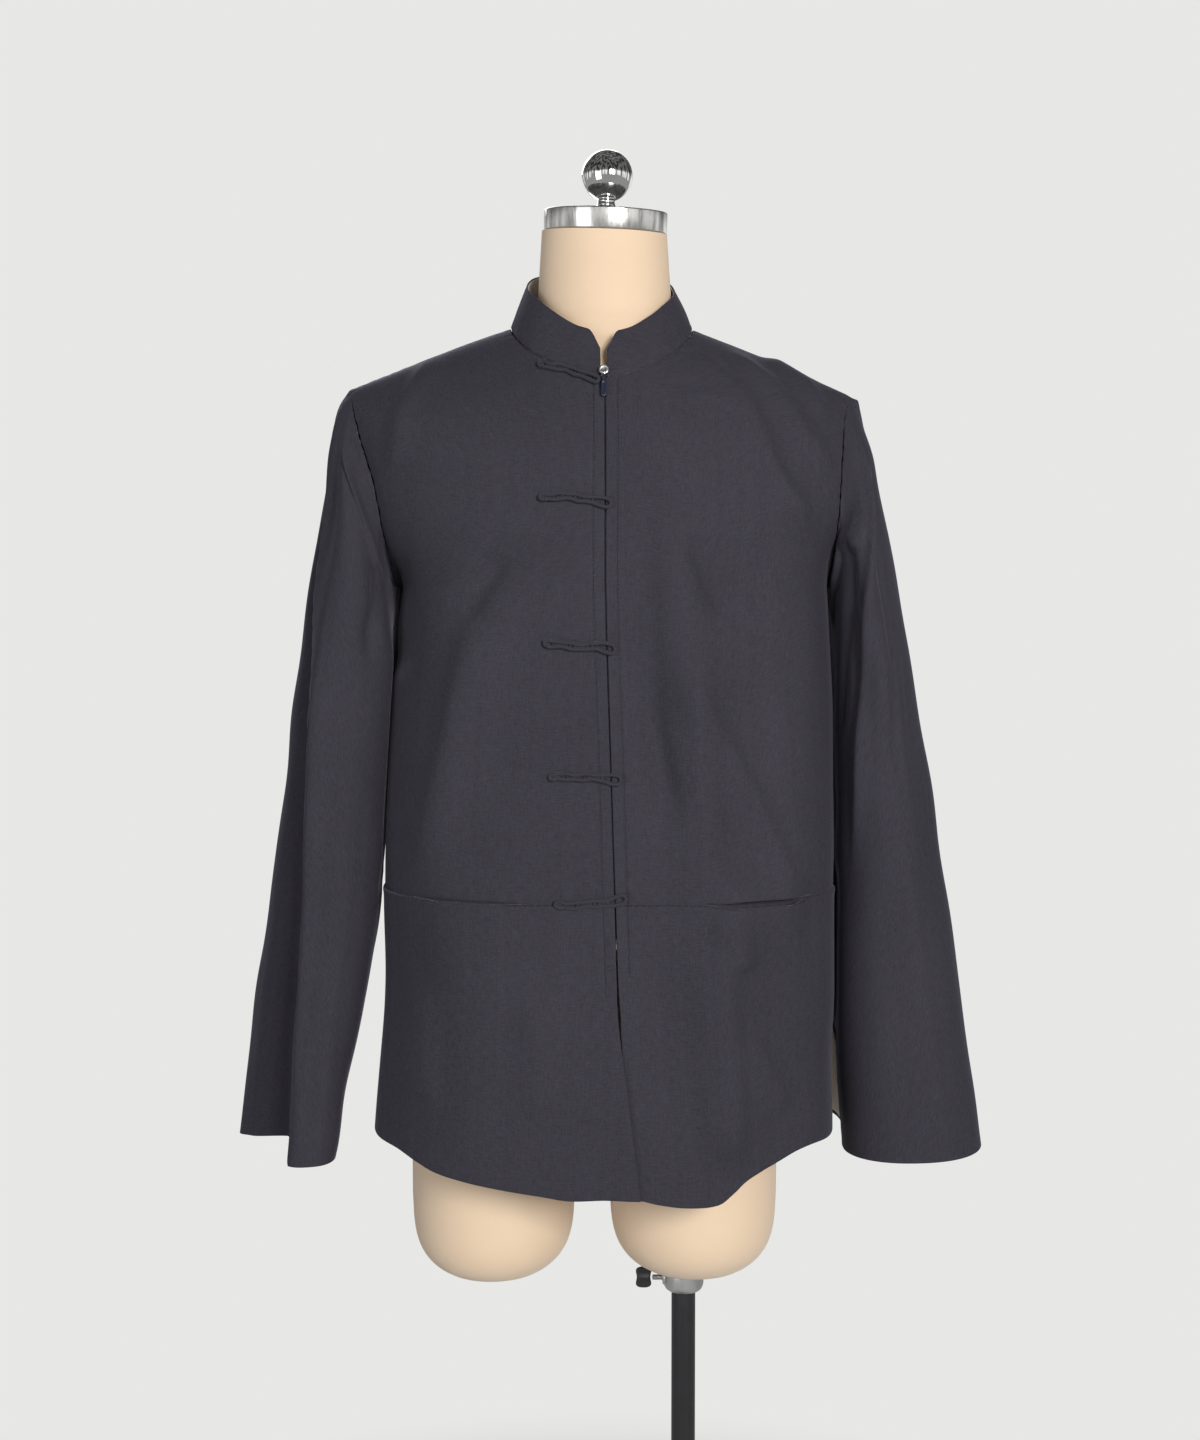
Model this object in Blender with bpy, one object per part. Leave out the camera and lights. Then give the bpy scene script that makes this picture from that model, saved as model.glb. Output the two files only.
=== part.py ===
"""Tang jacket worn by a half-body dress form on a pole stand.

Metres, +Z up. The wearer faces -Y, so the wearer's right is at -X. The origin is the centre of the
base's underside, straight below the form's centre line.

The jacket's outer surface is one rule: a superellipse at each level below the armpits, and above
them the same superellipse drawn in to the shoulder ridge along a quarter turn, the yoke angle.
Every panel, pocket, facing and cord is made from points of that surface.
"""
import math

import bmesh
import bpy
from mathutils import Matrix, Vector

# Cloth and seams
CLOTH = 0.002
TRIM = 0.0012
GAP = 0.0003

# Jacket levels and outline
HEM_Z = 0.684
BACK_HEM_RISE = 0.022
SLIT_TOP_Z = 0.836
POCKET_MOUTH_Z = 0.9235
ARMPIT_Z = 1.197
RIDGE_Z = 1.4475
RIDGE_CROWN = 0.0028
NECK_FRONT_Z = 1.375
NECK_BACK_Z = 1.424
SECTION_POWER = 2.4
ZIP_BOTTOM_Z = 0.893
PLACKET = 0.0095

# Collar
COLLAR_END_GAP = 0.0050
COLLAR_CORNER = 0.018
# Collar's top edge: (angle from the centre front in degrees, z)
COLLAR_TOP = ((0, 1.4150), (20, 1.4210), (40, 1.4345), (60, 1.4490), (90, 1.4660), (115, 1.4790),
              (145, 1.4880), (180, 1.4910))

# Dress form and stand
POLE_X = 0.073
POLE_RADIUS = 0.011
POLE_TOP_Z = 0.900
BORE_RADIUS = 0.0118
BORE_TOP_Z = 1.020
BASE_RADIUS = 0.200
BASE_THICKNESS = 0.008
SOCKET_RADIUS = 0.0185
SOCKET_BOTTOM_Z = 0.5515
SOCKET_TOP_Z = 0.5747
SCREW_Z = 0.5625
CAP_RADIUS = 0.0553
CAP_THICKNESS = 0.0185
CAP_CENTRE = (0.001, 0.0, 1.525)
CAP_TILT = (math.radians(8.5), math.radians(2.0), 0.0)
BALL_RADIUS = 0.0227

# Each side's own measures. armhole: (yoke angle in degrees, x); half_width: (z, x); hem: (x, z)
SIDES = {
    "right": {
        "sign": -1,
        "shoulder": (0.2300, 1.3745),
        "neck_x": 0.084,
        "slit_flare": 0.002,
        "armhole": ((0, 0.2300), (25, 0.2240), (46, 0.2135), (63, 0.2000), (80, 0.1915), (90, 0.1865)),
        "half_width": ((0.684, 0.2078), (0.771, 0.2018), (0.845, 0.1978), (0.912, 0.1984),
                       (0.965, 0.1975), (1.0955, 0.1923), (1.197, 0.1865)),
        "hem": ((0.0, 0.6825), (0.030, 0.6815), (0.054, 0.6850), (0.088, 0.6890), (0.124, 0.6935),
                (0.146, 0.6975), (0.162, 0.7035), (0.180, 0.7100), (0.205, 0.7115)),
    },
    "left": {
        "sign": 1,
        "shoulder": (0.2290, 1.3655),
        "neck_x": 0.079,
        "slit_flare": 0.0085,
        "armhole": ((0, 0.2290), (15, 0.2200), (30, 0.2130), (52, 0.2075), (74, 0.2030), (90, 0.2000)),
        "half_width": ((0.684, 0.2105), (0.783, 0.2071), (0.9125, 0.2070), (1.0955, 0.2056),
                       (1.197, 0.2000)),
        "hem": ((0.0, 0.6825), (0.026, 0.6825), (0.046, 0.6780), (0.070, 0.6745), (0.096, 0.6755),
                (0.109, 0.6845), (0.119, 0.6935), (0.132, 0.7005), (0.147, 0.7065), (0.165, 0.7125),
                (0.184, 0.7140), (0.210, 0.7100)),
    },
}

# Depth from the centre plane to the outer surface: (z, depth)
DEPTH = {
    "front": ((0.684, 0.150), (0.830, 0.148), (0.930, 0.146), (1.040, 0.141), (1.150, 0.136),
              (1.197, 0.132)),
    "back": ((0.684, 0.136), (0.830, 0.129), (0.930, 0.120), (1.040, 0.114), (1.150, 0.119),
             (1.197, 0.122)),
}
YOKE_POWER = {"front": 1.05, "back": 0.75}

# Centre-front line, leaning towards the wearer's left as it falls: (z, x)
CENTRE_LINE = ((0.684, 0.0269), (0.826, 0.0127), (0.930, 0.0085), (1.037, 0.0051), (1.149, 0.0018),
               (1.267, 0.0008), (1.375, -0.0008))

# Front edges measured from the centre-front line, closed over the zip, parted below it, then
# lapped right over left: (z, right panel's edge, left panel's edge, right panel's lift)
FRONT_EDGES = ((0.684, 0.0030, -0.0030, 0.0040), (0.780, 0.0010, -0.0012, 0.0036),
               (0.812, -0.0008, 0.0008, 0.0018), (0.840, -0.0018, 0.0020, 0.0),
               (0.870, -0.0018, 0.0018, 0.0), (0.900, -0.0009, 0.0009, 0.0),
               (1.400, -0.0009, 0.0009, 0.0))

# Largest folds of the body: (face, x and z of one end, x and z of the other, half width, height)
BODY_FOLDS = (
    ("front", 0.066, 1.235, 0.080, 1.115, 0.026, 0.0060),
    ("front", 0.080, 1.115, 0.088, 0.940, 0.026, 0.0070),
    ("front", 0.098, 0.900, 0.113, 0.730, 0.028, 0.0070),
    ("front", 0.083, 1.225, 0.112, 1.170, 0.020, -0.0045),
    ("front", 0.022, 1.140, 0.058, 1.010, 0.022, -0.0045),
    ("front", 0.158, 1.080, 0.172, 0.960, 0.022, 0.0040),
    ("front", 0.040, 0.870, 0.046, 0.770, 0.024, -0.0040),
    ("front", -0.105, 1.175, -0.145, 1.000, 0.030, 0.0050),
    ("front", -0.088, 1.215, -0.115, 1.170, 0.020, -0.0040),
    ("front", -0.120, 0.880, -0.112, 0.740, 0.030, 0.0040),
    ("back", 0.070, 1.150, 0.060, 0.930, 0.030, 0.0050),
    ("back", -0.075, 1.130, -0.080, 0.900, 0.030, 0.0050),
    ("back", -0.010, 0.980, 0.000, 0.760, 0.032, -0.0050),
    ("back", 0.115, 0.900, 0.125, 0.740, 0.028, 0.0050),
)

# Sleeve sections from shoulder to cuff. outer and inner are the far sides in x and z, depth the
# half size in y, centre the section's y, lean its sideways drift per metre of y
SLEEVE_COLUMNS = ("outer_x", "outer_z", "inner_x", "inner_z", "depth", "centre", "lean")
SLEEVES = {
    "right": (
        (0.2300, 1.3745, 0.1865, 1.1970, 0.064, 0.000, 0.00),
        (0.2385, 1.3595, 0.1890, 1.1970, 0.070, 0.000, 0.00),
        (0.2450, 1.3302, 0.1890, 1.1850, 0.074, 0.000, 0.03),
        (0.2515, 1.2930, 0.1880, 1.1670, 0.077, 0.000, 0.08),
        (0.2595, 1.2520, 0.1860, 1.1450, 0.079, 0.000, 0.10),
        (0.2680, 1.2060, 0.1815, 1.1220, 0.080, 0.002, 0.08),
        (0.2770, 1.1470, 0.1810, 1.0880, 0.080, 0.003, 0.08),
        (0.2870, 1.0820, 0.1865, 1.0500, 0.079, 0.004, 0.10),
        (0.2960, 1.0160, 0.1930, 1.0030, 0.077, 0.006, 0.15),
        (0.3055, 0.9500, 0.1990, 0.9500, 0.075, 0.008, 0.20),
        (0.3155, 0.8850, 0.2060, 0.8850, 0.073, 0.010, 0.26),
        (0.3270, 0.8150, 0.2200, 0.8150, 0.071, 0.012, 0.34),
        (0.3375, 0.7450, 0.2345, 0.7480, 0.070, 0.014, 0.42),
        (0.3440, 0.6990, 0.2420, 0.6990, 0.069, 0.015, 0.47),
        (0.3465, 0.6800, 0.2450, 0.6820, 0.068, 0.015, 0.50),
    ),
    "left": (
        (0.2290, 1.3655, 0.2000, 1.1970, 0.064, 0.000, 0.00),
        (0.2345, 1.3420, 0.2025, 1.1970, 0.070, 0.000, 0.00),
        (0.2410, 1.3160, 0.2030, 1.1850, 0.074, 0.000, 0.02),
        (0.2480, 1.2820, 0.2040, 1.1670, 0.077, 0.000, 0.05),
        (0.2570, 1.2410, 0.2045, 1.1450, 0.079, 0.000, 0.06),
        (0.2650, 1.1990, 0.2045, 1.1220, 0.080, 0.000, 0.04),
        (0.2740, 1.1450, 0.2045, 1.0880, 0.080, 0.000, 0.02),
        (0.2850, 1.0780, 0.2048, 1.0500, 0.078, 0.000, 0.03),
        (0.2975, 1.0120, 0.2052, 1.0030, 0.076, 0.000, 0.04),
        (0.3075, 0.9470, 0.2055, 0.9500, 0.074, 0.000, 0.05),
        (0.3180, 0.8820, 0.2060, 0.8850, 0.072, 0.001, 0.06),
        (0.3285, 0.8120, 0.2075, 0.8150, 0.070, 0.002, 0.07),
        (0.3390, 0.7430, 0.2125, 0.7450, 0.068, 0.003, 0.08),
        (0.3440, 0.7050, 0.2165, 0.7030, 0.067, 0.003, 0.09),
        (0.3465, 0.6880, 0.2180, 0.6860, 0.066, 0.003, 0.10),
    ),
}
SLEEVE_RINGS = 22

# The right sleeve's long fold: its outer front quarter is tucked back behind the front, from
# nothing at the shoulder to this depth at the cuff; the edge is an angle round the sleeve
TUCK_DEPTH = {"right": 0.062, "left": 0.0}
TUCK_EDGE = 66
TUCK_LIFT = 0.13

# Largest folds of the sleeves: (angle from the outer side through the front in degrees, half width
# in degrees, start and end along the sleeve from 0 to 1, height)
SLEEVE_FOLDS = {
    "right": ((74, 14, 0.10, 1.10, 0.0030), (112, 18, 0.12, 0.45, -0.0040), (285, 22, 0.25, 0.95, 0.0040),
              (245, 18, 0.30, 1.10, -0.0050)),
    "left": ((88, 15, 0.08, 0.55, 0.0050), (114, 15, 0.12, 0.50, -0.0060), (48, 18, 0.15, 0.75, -0.0040),
             (290, 20, 0.25, 0.95, 0.0050), (245, 18, 0.35, 1.10, -0.0060)),
}

# Yoke angles of the rows from the armpit to the shoulder seam, doubled: they are also the angles
# round the sleeve from its outer side
FRONT_ANGLES = (180, 160, 140, 122, 106, "neck", 79, 66, 54, 38, 19, 0)
BACK_ANGLES = (180, 156, 132, 110, 90, 70, "neck", 40, 30, 20, 10, 0)
LEVELS = (0.684, 0.720, 0.760, 0.800, 0.836, 0.864, 0.893, 0.9235, 0.960, 1.000, 1.040, 1.080, 1.120,
          1.160)
FRONT_COLUMNS = 10
BACK_COLUMNS = 9

# Frogs on the right front: x and z of the sewn end, x and z of the loop's tip
FROGS = (
    (-0.0567, 1.3840, -0.0064, 1.3690),
    (-0.0536, 1.2690, 0.0053, 1.2650),
    (-0.0498, 1.1475, 0.0085, 1.1440),
    (-0.0455, 1.0360, 0.0134, 1.0350),
    (-0.0404, 0.9303, 0.0175, 0.9325),
)
CORD_RADIUS = 0.0019

# How far the form's shoulders lie below the jacket's outer surface
FORM_DROP = {"right": 0.0020, "left": 0.0027}

# Dress form: (z, half width, front depth, back depth, centre x)
FORM_SECTIONS = (
    (0.745, 0.1720, 0.0980, 0.1080, -0.0090),
    (0.770, 0.1755, 0.1030, 0.1130, -0.0090),
    (0.800, 0.1760, 0.1060, 0.1170, -0.0090),
    (0.840, 0.1720, 0.1070, 0.1160, -0.0080),
    (0.900, 0.1610, 0.1050, 0.1060, -0.0060),
    (0.970, 0.1500, 0.1020, 0.0950, -0.0040),
    (1.040, 0.1490, 0.1020, 0.0920, -0.0020),
    (1.120, 0.1580, 0.1100, 0.1010, 0.0),
    (1.197, 0.1660, 0.1160, 0.1080, 0.0),
    (1.250, 0.1780, 0.1170, 0.1090, 0.0),
    (1.300, 0.1900, 0.1180, 0.1100, 0.0),
    (1.335, 0.1960, 0.1180, 0.1100, 0.0),
)
LEGS = {
    "right": {"x": -0.1017, "half": 0.0745, "lift": 0.0},
    "left": {"x": 0.0815, "half": 0.0765, "lift": 0.0020},
}
# Leg stub: (z, share of the half size)
LEG_PROFILE = ((0.785, 0.97), (0.740, 1.0), (0.690, 1.0), (0.645, 1.0), (0.625, 0.988), (0.610, 0.962),
               (0.598, 0.912), (0.588, 0.830), (0.580, 0.715), (0.575, 0.590), (0.572, 0.450),
               (0.5705, 0.300), (0.570, 0.080))

# Colours
CHARCOAL = (0.052, 0.048, 0.066)
BEIGE = (0.52, 0.47, 0.42)
CREAM = (0.82, 0.62, 0.45)
STEEL = (0.62, 0.62, 0.62)
SILVER = (0.72, 0.72, 0.70)
NAVY = (0.012, 0.018, 0.045)
BLACK = (0.012, 0.012, 0.014)


def curve(table, key):
    """Smooth value at key from rows of (key, value), flat beyond both ends."""
    if key <= table[0][0]:
        return table[0][1]
    if key >= table[-1][0]:
        return table[-1][1]
    last = len(table) - 1
    index = max(i for i in range(last) if table[i][0] <= key)

    def tangent(i):
        low, high = max(i - 1, 0), min(i + 1, last)
        return (table[high][1] - table[low][1]) / (table[high][0] - table[low][0])

    (k0, v0), (k1, v1) = table[index][:2], table[index + 1][:2]
    span = k1 - k0
    t = (key - k0) / span
    m0, m1 = tangent(index) * span, tangent(index + 1) * span
    return ((2 * t**3 - 3 * t**2 + 1) * v0 + (t**3 - 2 * t**2 + t) * m0
            + (3 * t**2 - 2 * t**3) * v1 + (t**3 - t**2) * m1)


def column(table, index):
    """Rows of (key, value) from one column of a wider table."""
    return tuple((row[0], row[index]) for row in table)


def smooth(t):
    """Smooth step from 0 to 1 as t goes from 0 to 1."""
    t = min(1.0, max(0.0, t))
    return t * t * (3 - 2 * t)


def bulge(ratio, power=SECTION_POWER):
    """Superellipse depth at a part of the half width."""
    return max(0.0, 1 - min(1.0, abs(ratio))**power)**(1 / power)


# --- the jacket's outer surface -------------------------------------------------------------------

def ridge_slope(side):
    x, z = SIDES[side]["shoulder"]
    return (RIDGE_Z - z) / (math.hypot(x, 0.03) - 0.03)


def ridge_crown(side, x):
    """Slight outward bow of the shoulder seam between the neck and the shoulder's end."""
    share = min(1.0, abs(x) / SIDES[side]["shoulder"][0])
    return 4 * RIDGE_CROWN * share * (1 - share)


def shoulder_z(side, x):
    """Height of the shoulder ridge at a distance from the centre plane."""
    return RIDGE_Z - ridge_slope(side) * (math.hypot(x, 0.03) - 0.03) + ridge_crown(side, x)


def shoulder_x(side, z):
    """Distance from the centre plane at which the shoulder ridge falls to a height."""
    low, high = 0.0, 0.3
    for _ in range(30):
        middle = (low + high) / 2
        if shoulder_z(side, middle) > z:
            low = middle
        else:
            high = middle
    return low


def armhole_x(side, yoke):
    return curve(SIDES[side]["armhole"], math.degrees(yoke))


def section_half_width(side, z, yoke):
    """Half width of the section; above the armpit it runs a little past the armhole."""
    if yoke is None:
        return curve(SIDES[side]["half_width"], z)
    return armhole_x(side, yoke) / (1 - 0.1 * smooth((math.pi / 2 - yoke) / math.radians(25)))


def fold_height(face, x, z):
    """Sum of the soft folds of one face at a place, fading towards the seams."""
    total = 0.0
    for fold_face, x0, z0, x1, z1, width, height in BODY_FOLDS:
        if fold_face != face:
            continue
        along = ((x - x0) * (x1 - x0) + (z - z0) * (z1 - z0)) / ((x1 - x0)**2 + (z1 - z0)**2)
        along = min(1.0, max(0.0, along))
        distance = math.hypot(x - x0 - along * (x1 - x0), z - z0 - along * (z1 - z0))
        total += height * math.exp(-(distance / width)**2)
    return total


def surface(side, face, x, z_level, yoke=None):
    """Outer surface at a signed distance x from the centre plane, measured towards this side.

    z_level is the row's level below the armpit; yoke is the row's angle above it.
    """
    sign = SIDES[side]["sign"]
    facing = -1 if face == "front" else 1
    half = section_half_width(side, z_level, yoke)
    if yoke is None:
        hem = curve(SIDES[side]["hem"], x) - HEM_Z
        if face == "back":
            hem = BACK_HEM_RISE * smooth(abs(x) / 0.2)
        z = z_level + hem * smooth((SLIT_TOP_Z - z_level) / (SLIT_TOP_Z - HEM_Z))
        depth = curve(DEPTH[face], z_level)
        turn = 1.0
    else:
        ridge = shoulder_z(side, x)
        z = ridge - (ridge - ARMPIT_Z) * (1 - math.cos(yoke))
        depth = DEPTH[face][-1][1]
        turn = math.sin(yoke)**YOKE_POWER[face]
    edge = smooth((half - abs(x)) / 0.025) * smooth((shoulder_z(side, x) - z) / 0.06)
    edge *= smooth(abs(x - sign * curve(CENTRE_LINE, z)) / 0.05) if face == "front" else 1.0
    fold = fold_height(face, sign * x, z) * edge
    y = depth * bulge(x / half) * turn + fold + GAP / 2
    return Vector((sign * x, facing * y, z))


def yoke_at(side, x, z):
    """Yoke angle of the point of the surface at x and z, above the armpit."""
    ridge = shoulder_z(side, x)
    return math.acos(max(-1.0, min(1.0, 1 - (ridge - z) / (ridge - ARMPIT_Z))))


def front_point(x, z):
    """Outer front surface at a world x and z."""
    side = "left" if x >= 0 else "right"
    if z <= ARMPIT_Z:
        return surface(side, "front", abs(x), z)
    return surface(side, "front", abs(x), z, yoke_at(side, abs(x), z))


def front_frame(x, z):
    """Point, outward normal, and unit tangents across and up the front at a world x and z."""
    step = 0.004
    across = (front_point(x + step, z) - front_point(x - step, z)).normalized()
    up = (front_point(x, z + step) - front_point(x, z - step)).normalized()
    return front_point(x, z), across.cross(up).normalized(), across, up


def neckline_z(side, face, x):
    """Height of the neckline seam at a distance from the centre plane."""
    neck_x = SIDES[side]["neck_x"]
    side_z = shoulder_z(side, neck_x)
    low, power = (NECK_FRONT_Z, 1.7) if face == "front" else (NECK_BACK_Z, 2.0)
    return side_z - (side_z - low) * bulge(x / neck_x, power)


def neck_yoke(face):
    """Yoke angle of the row that meets the neckline on the centre plane."""
    low = NECK_FRONT_Z if face == "front" else NECK_BACK_Z
    return math.acos(1 - (RIDGE_Z - low) / (RIDGE_Z - ARMPIT_Z))


def rows(face):
    """All rows of a panel from the hem to the shoulder seam: (level, yoke angle or None)."""
    angles = FRONT_ANGLES if face == "front" else BACK_ANGLES
    yokes = [neck_yoke(face) if a == "neck" else math.radians(a / 2) for a in angles]
    return [(z, None) for z in LEVELS] + [(ARMPIT_Z, yoke) for yoke in yokes]


def neckline_x(side, face, yoke):
    """Distance from the centre plane at which a row meets the neckline."""
    if yoke >= neck_yoke(face) - 1e-6:
        return 0.0
    low, high = 0.0, SIDES[side]["neck_x"]
    for _ in range(40):
        x = (low + high) / 2
        ridge = shoulder_z(side, x)
        if ridge - (ridge - ARMPIT_Z) * (1 - math.cos(yoke)) > neckline_z(side, face, x):
            low = x
        else:
            high = x
    return low


def front_edge(side, z):
    """Signed distance of the front edge from the centre plane, measured towards this side."""
    offset = curve(column(FRONT_EDGES, 1 if side == "right" else 2), z)
    return SIDES[side]["sign"] * (curve(CENTRE_LINE, z) + offset)


def row_distances(side, face, row):
    """Distances from the centre plane of a row's points, inner edge first."""
    level, yoke = row
    half = section_half_width(side, level, yoke)
    outer = half if yoke is None else armhole_x(side, yoke)
    inner = 0.0
    if face == "front":
        inner = front_edge(side, level if yoke is None else ARMPIT_Z + 0.1)
    if yoke is not None:
        inner = max(inner, neckline_x(side, face, yoke))
    first = inner + (PLACKET if face == "front" else 0.0)
    start = 1 if face == "front" else 0
    count = (FRONT_COLUMNS if face == "front" else BACK_COLUMNS) - start
    low, high = math.asin(first / half), math.asin(min(1.0, outer / half))
    spread = [half * math.sin(low + (high - low) * i / count) for i in range(count + 1)]
    return ([inner] if start else []) + spread


def inward_at_side(side):
    return Vector((-SIDES[side]["sign"], 0, 0))


def inward_at_shoulder(side):
    return Vector((-SIDES[side]["sign"] * ridge_slope(side), 0, -1)).normalized()


def inward_at_armhole(side, point, yoke):
    """Shared direction of the cloth's thickness at the armhole, towards the armhole's middle."""
    sign = SIDES[side]["sign"]
    middle = Vector((sign * (SIDES[side]["armhole"][-1][1] + 0.012), 0, 1.285))
    radial = (middle - point).normalized()
    share = 0.1 + 0.9 * ((1 - math.cos(2 * yoke)) / 2)**2
    return radial + Vector((-sign * share, 0, 0))


def inward_at_neckline(point):
    """Shared direction of the cloth's thickness at the neckline."""
    flat = Vector((point.x, point.y, 0)).normalized()
    angle = math.degrees(math.acos(max(-1.0, min(1.0, -flat.y))))
    down = 0.45 + 0.28 * min(1.0, angle / 90)
    return (-flat * math.sqrt(1 - down * down) + Vector((0, 0, -down))) * 1.1


def panel_grid(side, face):
    """Points of one half of a face by row and column, with the set directions of its seams."""
    grid, inward = [], []
    all_rows = rows(face)
    for index, row in enumerate(all_rows):
        level, yoke = row
        points, directions = [], []
        distances = row_distances(side, face, row)
        for place, x in enumerate(distances):
            point = surface(side, face, x, level, yoke)
            if yoke is None and level < SLIT_TOP_Z:
                point = open_slit(point, side, face, level, x)
            if side == "right" and face == "front" and yoke is None:
                lift = curve(column(FRONT_EDGES, 3), level)
                point.y -= lift * math.exp(-((x - distances[0]) / 0.02)**2)
            direction = None
            if place == len(distances) - 1:
                direction = inward_at_side(side) if yoke is None else inward_at_armhole(side, point, yoke)
            elif index == len(all_rows) - 1:
                direction = inward_at_shoulder(side)
            if place == 0 and yoke is not None and yoke <= neck_yoke(face) + 1e-6:
                direction = inward_at_neckline(point)
            points.append(point)
            directions.append(direction)
        grid.append(points)
        inward.append(directions)
    return grid, inward


def open_slit(point, side, face, level, x):
    """Below the slit's top the back's edge stands out and the front's edge draws forward."""
    half = curve(SIDES[side]["half_width"], level)
    drop = smooth((SLIT_TOP_Z - level) / 0.09)
    near = smooth((abs(x) / half - 0.86) / 0.14)
    if face == "back":
        flare = SIDES[side]["sign"] * SIDES[side]["slit_flare"]
        return point + Vector((flare * drop * near, 0.001 * drop * near, 0))
    return point + Vector((0, -0.003 * drop * near, 0))


# --- building solids ------------------------------------------------------------------------------

def make_material(name, colour, roughness, metallic=0.0):
    material = bpy.data.materials.new(name)
    material.use_nodes = True
    shader = material.node_tree.nodes["Principled BSDF"]
    shader.inputs["Base Color"].default_value = (*colour, 1.0)
    shader.inputs["Roughness"].default_value = roughness
    shader.inputs["Metallic"].default_value = metallic
    return material


def finish_object(name, bm, colour, roughness, metallic=0.0, sharp=40):
    """Make a named object with its own material from a bmesh."""
    bmesh.ops.recalc_face_normals(bm, faces=bm.faces)
    mesh = bpy.data.meshes.new(name)
    bm.to_mesh(mesh)
    bm.free()
    mesh.materials.append(make_material(name + "_material", colour, roughness, metallic))
    mesh.shade_smooth()
    mesh.set_sharp_from_angle(angle=math.radians(sharp))
    obj = bpy.data.objects.new(name, mesh)
    bpy.context.scene.collection.objects.link(obj)
    return obj


def grid_triangles(row_count, column_count, closed=False, start=0):
    """Triangles of a grid whose points are numbered row by row, cut along one shared diagonal."""
    faces = []
    for r in range(row_count - 1):
        for c in range(column_count if closed else column_count - 1):
            a = start + r * column_count + c
            b = start + r * column_count + (c + 1) % column_count
            d = a + column_count
            e = b + column_count
            faces += [(a, b, e), (a, e, d)]
    return faces


def shell(name, points, faces, inward, thickness, colour, roughness=0.85):
    """Closed wall: the given outer surface, the same surface moved in, and a rim on every edge.

    inward holds a direction for each point that lies on a seam, and None elsewhere.
    """
    keys, merged, number = {}, [], []
    for point in points:
        key = tuple(round(v * 1e6) for v in point)
        if key not in keys:
            keys[key] = len(merged)
            merged.append(point)
        number.append(keys[key])
    directions = [None] * len(merged)
    for i, direction in enumerate(inward):
        if direction is not None:
            directions[number[i]] = direction
    faces = [tuple(number[i] for i in face) for face in faces]
    faces = [face for face in faces if len(set(face)) == 3]
    normals = [Vector((0, 0, 0)) for _ in merged]
    for a, b, c in faces:
        normal = (merged[b] - merged[a]).cross(merged[c] - merged[a])
        for i in (a, b, c):
            normals[i] += normal
    inner = []
    for i, point in enumerate(merged):
        move = directions[i] if directions[i] is not None else -normals[i].normalized()
        inner.append(point + move * thickness)
    bm = bmesh.new()
    outer_verts = [bm.verts.new(p) for p in merged]
    inner_verts = [bm.verts.new(p) for p in inner]
    used = {}
    for a, b, c in faces:
        bm.faces.new((outer_verts[a], outer_verts[b], outer_verts[c]))
        bm.faces.new((inner_verts[c], inner_verts[b], inner_verts[a]))
        for edge in ((a, b), (b, c), (c, a)):
            used[edge] = True
    for a, b in used:
        if (b, a) not in used:
            bm.faces.new((outer_verts[b], outer_verts[a], inner_verts[a]))
            bm.faces.new((outer_verts[b], inner_verts[a], inner_verts[b]))
    return finish_object(name, bm, colour, roughness)


def flipped(faces, flip):
    return [tuple(reversed(face)) for face in faces] if flip else faces


def flat(grid):
    return [item for row in grid for item in row]


def lathe(name, profile, colour, roughness, metallic, steps=24, bore=None):
    """Turned solid from (radius, z) pairs, bottom first; with a bore, a ring instead."""
    bm = bmesh.new()
    rings = [[bm.verts.new((r * math.cos(2 * math.pi * k / steps), r * math.sin(2 * math.pi * k / steps), z))
              for k in range(steps)] for r, z in profile]
    if bore:
        for z in (profile[-1][1], profile[0][1]):
            rings.append([bm.verts.new((bore * math.cos(2 * math.pi * k / steps),
                                        bore * math.sin(2 * math.pi * k / steps), z))
                          for k in range(steps)])
        rings.append(rings[0])
    for low, high in zip(rings, rings[1:]):
        for k in range(steps):
            bm.faces.new((low[k], low[(k + 1) % steps], high[(k + 1) % steps], high[k]))
    if not bore:
        bm.faces.new(list(reversed(rings[0])))
        bm.faces.new(rings[-1])
    return finish_object(name, bm, colour, roughness, metallic)


def loft(name, rings, colour, roughness, metallic=0.0):
    """Solid through closed rings of points, with a flat cap on both ends."""
    bm = bmesh.new()
    verts = [[bm.verts.new(p) for p in ring] for ring in rings]
    count = len(rings[0])
    for low, high in zip(verts, verts[1:]):
        for k in range(count):
            bm.faces.new((low[k], low[(k + 1) % count], high[(k + 1) % count], high[k]))
    bm.faces.new(list(reversed(verts[0])))
    bm.faces.new(verts[-1])
    return finish_object(name, bm, colour, roughness, metallic)


# --- jacket panels --------------------------------------------------------------------------------

def build_front(side):
    grid, inward = panel_grid(side, "front")
    faces = grid_triangles(len(grid), len(grid[0]))
    faces = flipped(faces, side == "right")
    shell("front_" + side, flat(grid), faces, flat(inward), CLOTH, CHARCOAL)
    return grid


def build_back():
    points, faces, directions = [], [], []
    grids = {}
    for side in SIDES:
        grid, inward = panel_grid(side, "back")
        count = len(grid[0])
        half = grid_triangles(len(grid), count, start=len(points))
        faces += flipped(half, side == "left")
        points += flat(grid)
        directions += flat(inward)
        grids[side] = grid
    shell("back", points, faces, directions, CLOTH, CHARCOAL)
    return grids


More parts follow.
